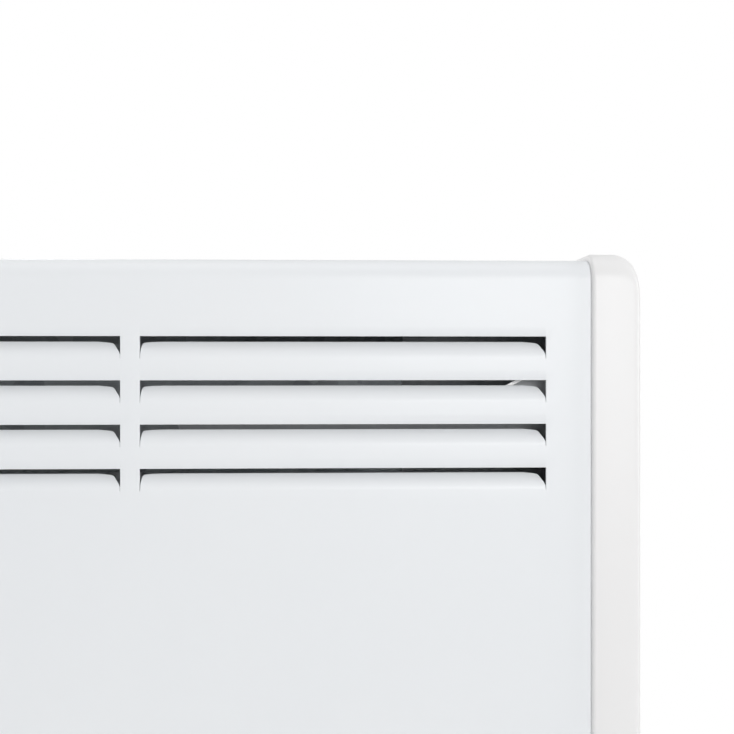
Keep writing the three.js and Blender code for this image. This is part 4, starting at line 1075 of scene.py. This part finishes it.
def switch():
    """The housing, drawn out from its back over the bezel and down into the pocket, and the rocker."""
    low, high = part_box("switch_housing")
    middle = (low + high) / 2
    bezel_x = high.x - BEZEL_THICKNESS
    back = Vector((bezel_x - HOUSING_DEPTH, middle.y, middle.z))
    half = Vector((0, (high.y - low.y) / 2 - BEZEL_RIM, (high.z - low.z) / 2 - BEZEL_RIM))
    pocket_y = half.y - ROCKER_WIDTH / 2 - ROCKER_CLEARANCE
    pocket_z = half.z - ROCKER_LENGTH / 2 - ROCKER_CLEARANCE
    piece = open_mesh("switch_bezel")
    outline(X, back, half, HOUSING_CORNER, segments=6)
    bpy.ops.mesh.edge_face_add()
    bpy.ops.mesh.select_mode(type="EDGE")
    front = HOUSING_DEPTH + BEZEL_THICKNESS
    side_end = front - BEZEL_ROUND
    rim = [(HOUSING_DEPTH, 0), (HOUSING_DEPTH, -BEZEL_RIM), (side_end, -BEZEL_RIM)]
    rim += [(side_end + way, inset - BEZEL_RIM) for way, inset in quarter(BEZEL_ROUND, 4)]
    rings = [(way, inset, inset) for way, inset in rim]
    rings.append((front, pocket_y - POCKET_CHAMFER, pocket_z - POCKET_CHAMFER))
    rings += [(way, pocket_y, pocket_z) for way in (front - POCKET_CHAMFER, POCKET_FLOOR)]
    draw_rings(X, 1, back, half, rings)
    bpy.ops.mesh.edge_face_add()
    for side in (-1, 1):
        tab = (back.x + TAB_SUNK - TAB[X] / 2, middle.y, middle.z + side * TAB_OFFSET)
        bpy.ops.mesh.primitive_cube_add(size=1, location=tab)
        stretch(*TAB, about=tab)
    align_faces()
    close_editing()
    deliver(piece, "dark_plastic", "heater", "switch_housing")
    softened("switch_rocker", "control_plastic", "rocker", ROCKER_ROUND, segments=4)
    rocker_marks(Vector((bezel_x + ROCKER_AXIS, middle.y, middle.z)))


def rocker_marks(axis):
    """A bar for on and a ring for off, printed on the two slopes of the rocker's face."""
    bar = begin("switch_on_bar", bpy.ops.mesh.primitive_cube_add, size=1)
    stretch(*ON_BAR)
    close_editing()
    ring = begin(
        "switch_off_ring",
        bpy.ops.mesh.primitive_torus_add,
        major_segments=40,
        minor_segments=8,
        major_radius=OFF_RING_RADIUS,
        minor_radius=OFF_RING_LINE,
        rotation=FACING[X],
    )
    close_editing()
    slope = math.radians(ROCKER_SLOPE)
    rest = math.radians(ROCKER_REST_TILT)
    out = ROCKER_DIP + MARK_OFFSET * math.sin(slope)
    for mark, side, flatness in ((bar, 1, 1), (ring, -1, OFF_RING_FLATNESS)):
        up = side * MARK_OFFSET * math.cos(slope)
        shift_x = out * math.cos(rest) + up * math.sin(rest)
        shift_z = up * math.cos(rest) - out * math.sin(rest)
        mark.scale = (flatness, 1, 1)
        settle(mark, axis + Vector((shift_x, 0, shift_z)), (0, side * slope + rest, 0))
        deliver(mark, "print_grey", "rocker")


def lens():
    """A domed lens with a flange, on its stem."""
    low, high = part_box("indicator_lens")
    middle = (low + high) / 2
    centre = Vector((low.x, middle.y, middle.z))
    height = high.x - low.x
    radius = (high.z - low.z) / 2
    seat = height - LENS_RISE
    rim = seat + LENS_FLANGE
    profile = [(0, LENS_STEM), (seat, LENS_STEM)]
    profile += [(seat, radius - LENS_CHAMFER), (seat + LENS_CHAMFER, radius)]
    profile += [(rim - LENS_ROUND, radius), (rim, radius - LENS_ROUND)]
    steps = 8
    for i in range(steps):
        a = i * math.pi / 2 / steps
        profile.append((rim + (height - rim) * math.sin(a), (radius - LENS_STEP) * math.cos(a)))
    piece = turned("domed_lens", X, centre, profile)
    close_editing()
    deliver(piece, "lens_amber", "heater", "indicator_lens", smooth=30)


# ---- Screws, grommet and hanging parts ----


def pan_head_screw(name, shank):
    """A pan-head screw with a cross recess, its seat at the origin and its head towards +Z."""
    steepness = (SCREW_HEAD_HEIGHT - SCREW_HEAD_EDGE) / SCREW_HEAD_ROUND
    profile = [(-shank, SCREW_POINT), (-shank * SCREW_FULL_SHARE, SCREW_RADIUS), (0, SCREW_RADIUS)]
    profile += [(0, SCREW_HEAD_RADIUS - SCREW_HEAD_CHAMFER), (SCREW_HEAD_EDGE, SCREW_HEAD_RADIUS)]
    for way, inset in quarter(SCREW_HEAD_ROUND, 7):
        profile.append((SCREW_HEAD_EDGE + way * steepness, SCREW_HEAD_RADIUS - inset))
    piece = turned(name, Z, (0, 0, 0), profile, segments=32)
    top = max(way for way, radius in profile)

    def on_top(p):
        return near(p.z, top)

    for axis in (X, Y):
        score(axis, [-CROSS_REACH, -CROSS_ARM, CROSS_ARM, CROSS_REACH], on_top)
    pick("FACE", lambda p: on_top(p) and in_cross(p))
    extrude_faces(0, 0, -CROSS_DEPTH)
    stretch(CROSS_TAPER, CROSS_TAPER, 1)
    close_editing()
    return piece


def in_cross(p):
    across, on = sorted((abs(p.x), abs(p.y)))
    return across < CROSS_ARM + TINY and on < CROSS_REACH + TINY


def screws():
    """Screws in the end caps' backs, up through the panel's lower return, and out through the casing."""
    cap_screws = [f"cap_screw_{side}_{level}" for side in ("left", "right") for level in ("lower", "upper")]
    panel_screws = [f"panel_screw_{place}" for place in ("left", "middle", "right")]
    kinds = [  # (shank, turn, nodes)
        (8 * MM, (-math.pi / 2, 0, 0), cap_screws),
        (4 * MM, (math.pi, 0, 0), panel_screws),
        (2.1 * MM, (math.pi / 2, 0, 0), ["earth_screw"]),
    ]
    for shank, turn, nodes in kinds:
        model = pan_head_screw("screw_model", shank)
        facing = Euler(turn).to_matrix() @ Vector((0, 0, 1))
        for node in nodes:
            low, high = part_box(node)
            reach = abs(facing.dot(high - low)) / 2 - SCREW_HEAD_HEIGHT
            piece = twin(model, f"pan_head_{node}")
            settle(piece, (low + high) / 2 + facing * reach, turn)
            deliver(piece, "bright_steel", "heater", node)
        bpy.data.objects.remove(model)


def grommet():
    """A blind grommet: flanges on both sides of the sheet and a dished membrane."""
    low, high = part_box("cable_grommet")
    middle = (low + high) / 2
    centre = Vector((middle.x, middle.y, high.z))
    flange = (high.x - low.x) / 2
    depth = high.z - low.z
    neck = flange - GROMMET_GROOVE
    down, taper = GROMMET_TAPER
    upper, lower = [rise - depth for rise in GROMMET_SHEET]
    profile = [(0, flange - taper), (-down, flange), (upper, flange), (upper, neck), (lower, neck)]
    profile += [(lower, flange - GROMMET_CHAMFER), (lower - GROMMET_CHAMFER, flange)]
    profile += [(GROMMET_ROUND - depth - way, flange - inset) for way, inset in quarter(GROMMET_ROUND, 5)]
    profile += [(rise - depth, neck - inset) for rise, inset in GROMMET_DISH]
    rise, radius = GROMMET_MEMBRANE
    profile.append((rise - depth, radius))
    piece = turned("blind_grommet", Z, centre, profile)
    close_editing()
    deliver(piece, "black_rubber", "heater", "cable_grommet", smooth=40)


def hanger_pin(node):
    """A pivot pin, turned with a chamfer at each end."""
    low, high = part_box(node)
    middle = (low + high) / 2
    radius = (high.z - low.z) / 2
    length = high.x - low.x
    end = radius - PIN_CHAMFER
    profile = [(0, end), (PIN_CHAMFER, radius), (length - PIN_CHAMFER, radius), (length, end)]
    piece = turned(f"turned_{node}", X, (low.x, middle.y, middle.z), profile)
    close_editing()
    deliver(piece, "bright_steel", "heater", node)


def clip_rivet(node):
    """A rivet with a domed head."""
    low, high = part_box(node)
    middle = (low + high) / 2
    flange = (high.x - low.x) / 2
    shank = flange - RIVET_LIP
    seat = low.y - high.y + RIVET_HEAD
    profile = [(0, shank), (seat, shank), (seat, flange)]
    profile += [(seat - way, flange - inset * RIVET_ROUND) for way, inset in quarter(RIVET_HEAD, 6)]
    piece = turned(f"turned_{node}", Y, (middle.x, high.y, middle.z), profile)
    close_editing()
    deliver(piece, "bright_steel", "wall_mount", node)


def hanging_parts():
    """Pins and rivets turned, and the pressed parts with softened edges."""
    softened("wall_bracket", "zinc_steel", "wall_mount", PRESSED_EDGE)
    for side in ("left", "right"):
        softened(f"hanger_{side}", "zinc_steel", "heater", PRESSED_EDGE)
        softened(f"latch_tongue_{side}", "zinc_steel", "heater", PRESSED_EDGE)
        softened(f"snap_clip_{side}", "bright_steel", "wall_mount", SPRING_EDGE)
        hanger_pin(f"hanger_pin_{side}")
        clip_rivet(f"clip_rivet_{side}")


louvred_front()
end_cap("right")
end_cap("left")
slotted_tray()
louvre_guard()
fluted_knob()
dial()
switch()
lens()
screws()
grommet()
hanging_parts()


# ---- Stage: floor, light and camera ----


def white_for_the_eye(nodes):
    """1 for rays from the camera and off or through glossy and clear things, 0 for rays that light."""
    camera_ray = nodes.node("ShaderNodeLightPath", output="Is Camera Ray")
    outputs = camera_ray.socket.node.outputs
    glossy_ray = Signal(nodes, outputs["Is Glossy Ray"])
    clear_ray = Signal(nodes, outputs["Is Transmission Ray"])
    return camera_ray + glossy_ray + clear_ray


def pale_floor(height):
    """A round pale floor that keeps the object's shadow and fades into the white background."""
    radius = 0.95
    bpy.ops.object.select_all(action="DESELECT")
    bpy.ops.mesh.primitive_circle_add(vertices=96, radius=radius, fill_type="NGON", location=(0, 0, height))
    floor = bpy.context.object
    floor.name = "floor"
    made = Finish("floor_white", Base_Color=colour(246, 246, 246), Roughness=0.9)
    distance = made.node("ShaderNodeVectorMath", {"operation": "LENGTH"}, {0: made.place}, output="Value")
    fade = made.node(
        "ShaderNodeMapRange",
        {"interpolation_type": "SMOOTHSTEP"},
        {"Value": distance, "From Min": 0.35 * radius, "From Max": 0.97 * radius, "To Min": 0.3},
    )
    white = made.node("ShaderNodeEmission", None, {"Color": (1, 1, 1, 1), "Strength": 1.0})
    made.tree.links.new(
        made.node(
            "ShaderNodeMixShader",
            None,
            {0: fade * white_for_the_eye(made), 1: Signal(made, made.surface.outputs[0]), 2: white},
        ).socket,
        made.tree.nodes["Material Output"].inputs["Surface"],
    )
    floor.data.materials.append(made.material)


def white_world(light):
    """A white backdrop that lights the object softly at a lower strength."""
    world = bpy.data.worlds.new("studio")
    world.use_nodes = True
    bpy.context.scene.world = world
    nodes = Nodes(world.node_tree)
    seen = white_for_the_eye(nodes)
    strength = light + (1 - light) * seen.combine("MINIMUM", seen, 1.0)
    background = world.node_tree.nodes["Background"]
    background.inputs["Color"].default_value = (1, 1, 1, 1)
    nodes.feed(background.inputs["Strength"], strength)


def softbox(name, place, aim, size, power):
    """A square area light that looks at a point."""
    lamp = bpy.data.lights.new(name, "AREA")
    lamp.shape = "SQUARE"
    lamp.size = size
    lamp.energy = power
    holder = bpy.data.objects.new(name, lamp)
    link(holder)
    holder.location = place
    holder.rotation_euler = (Vector(aim) - Vector(place)).to_track_quat("-Z", "Y").to_euler()


def photo_camera():
    """The photograph's camera: level, close to the right-hand end, turned a little to the right."""
    data = bpy.data.cameras.new("photo_camera")
    data.lens = 50
    data.sensor_width = 36
    data.clip_start = 0.01
    camera = bpy.data.objects.new("photo_camera", data)
    link(camera)
    camera.location = (195.95 * MM, -403 * MM, 158.24 * MM)
    camera.rotation_euler = (math.pi / 2, 0, math.radians(-2.07))
    bpy.context.scene.camera = camera


pale_floor(cad_box[0].z - FLOOR_DROP)
white_world(light=0.28)
softbox("key_light", (0.6, -1.7, 0.45), (0.1, -0.08, 0.1), 0.7, 13)
softbox("fill_light", (-0.9, -1.7, 0.45), (-0.1, -0.08, 0.05), 0.9, 3.2)
softbox("top_light", (0.1, -0.1, 1.4), (0.1, -0.08, 0.1), 1.0, 4.6)
softbox("side_light", (1.7, -0.2, 0.4), (0.29, -0.05, 0), 0.8, 6)
softbox("back_light", (-0.9, 1.6, 0.9), (0, -0.05, 0), 1.2, 10)
photo_camera()
bpy.context.scene.view_settings.view_transform = "Standard"
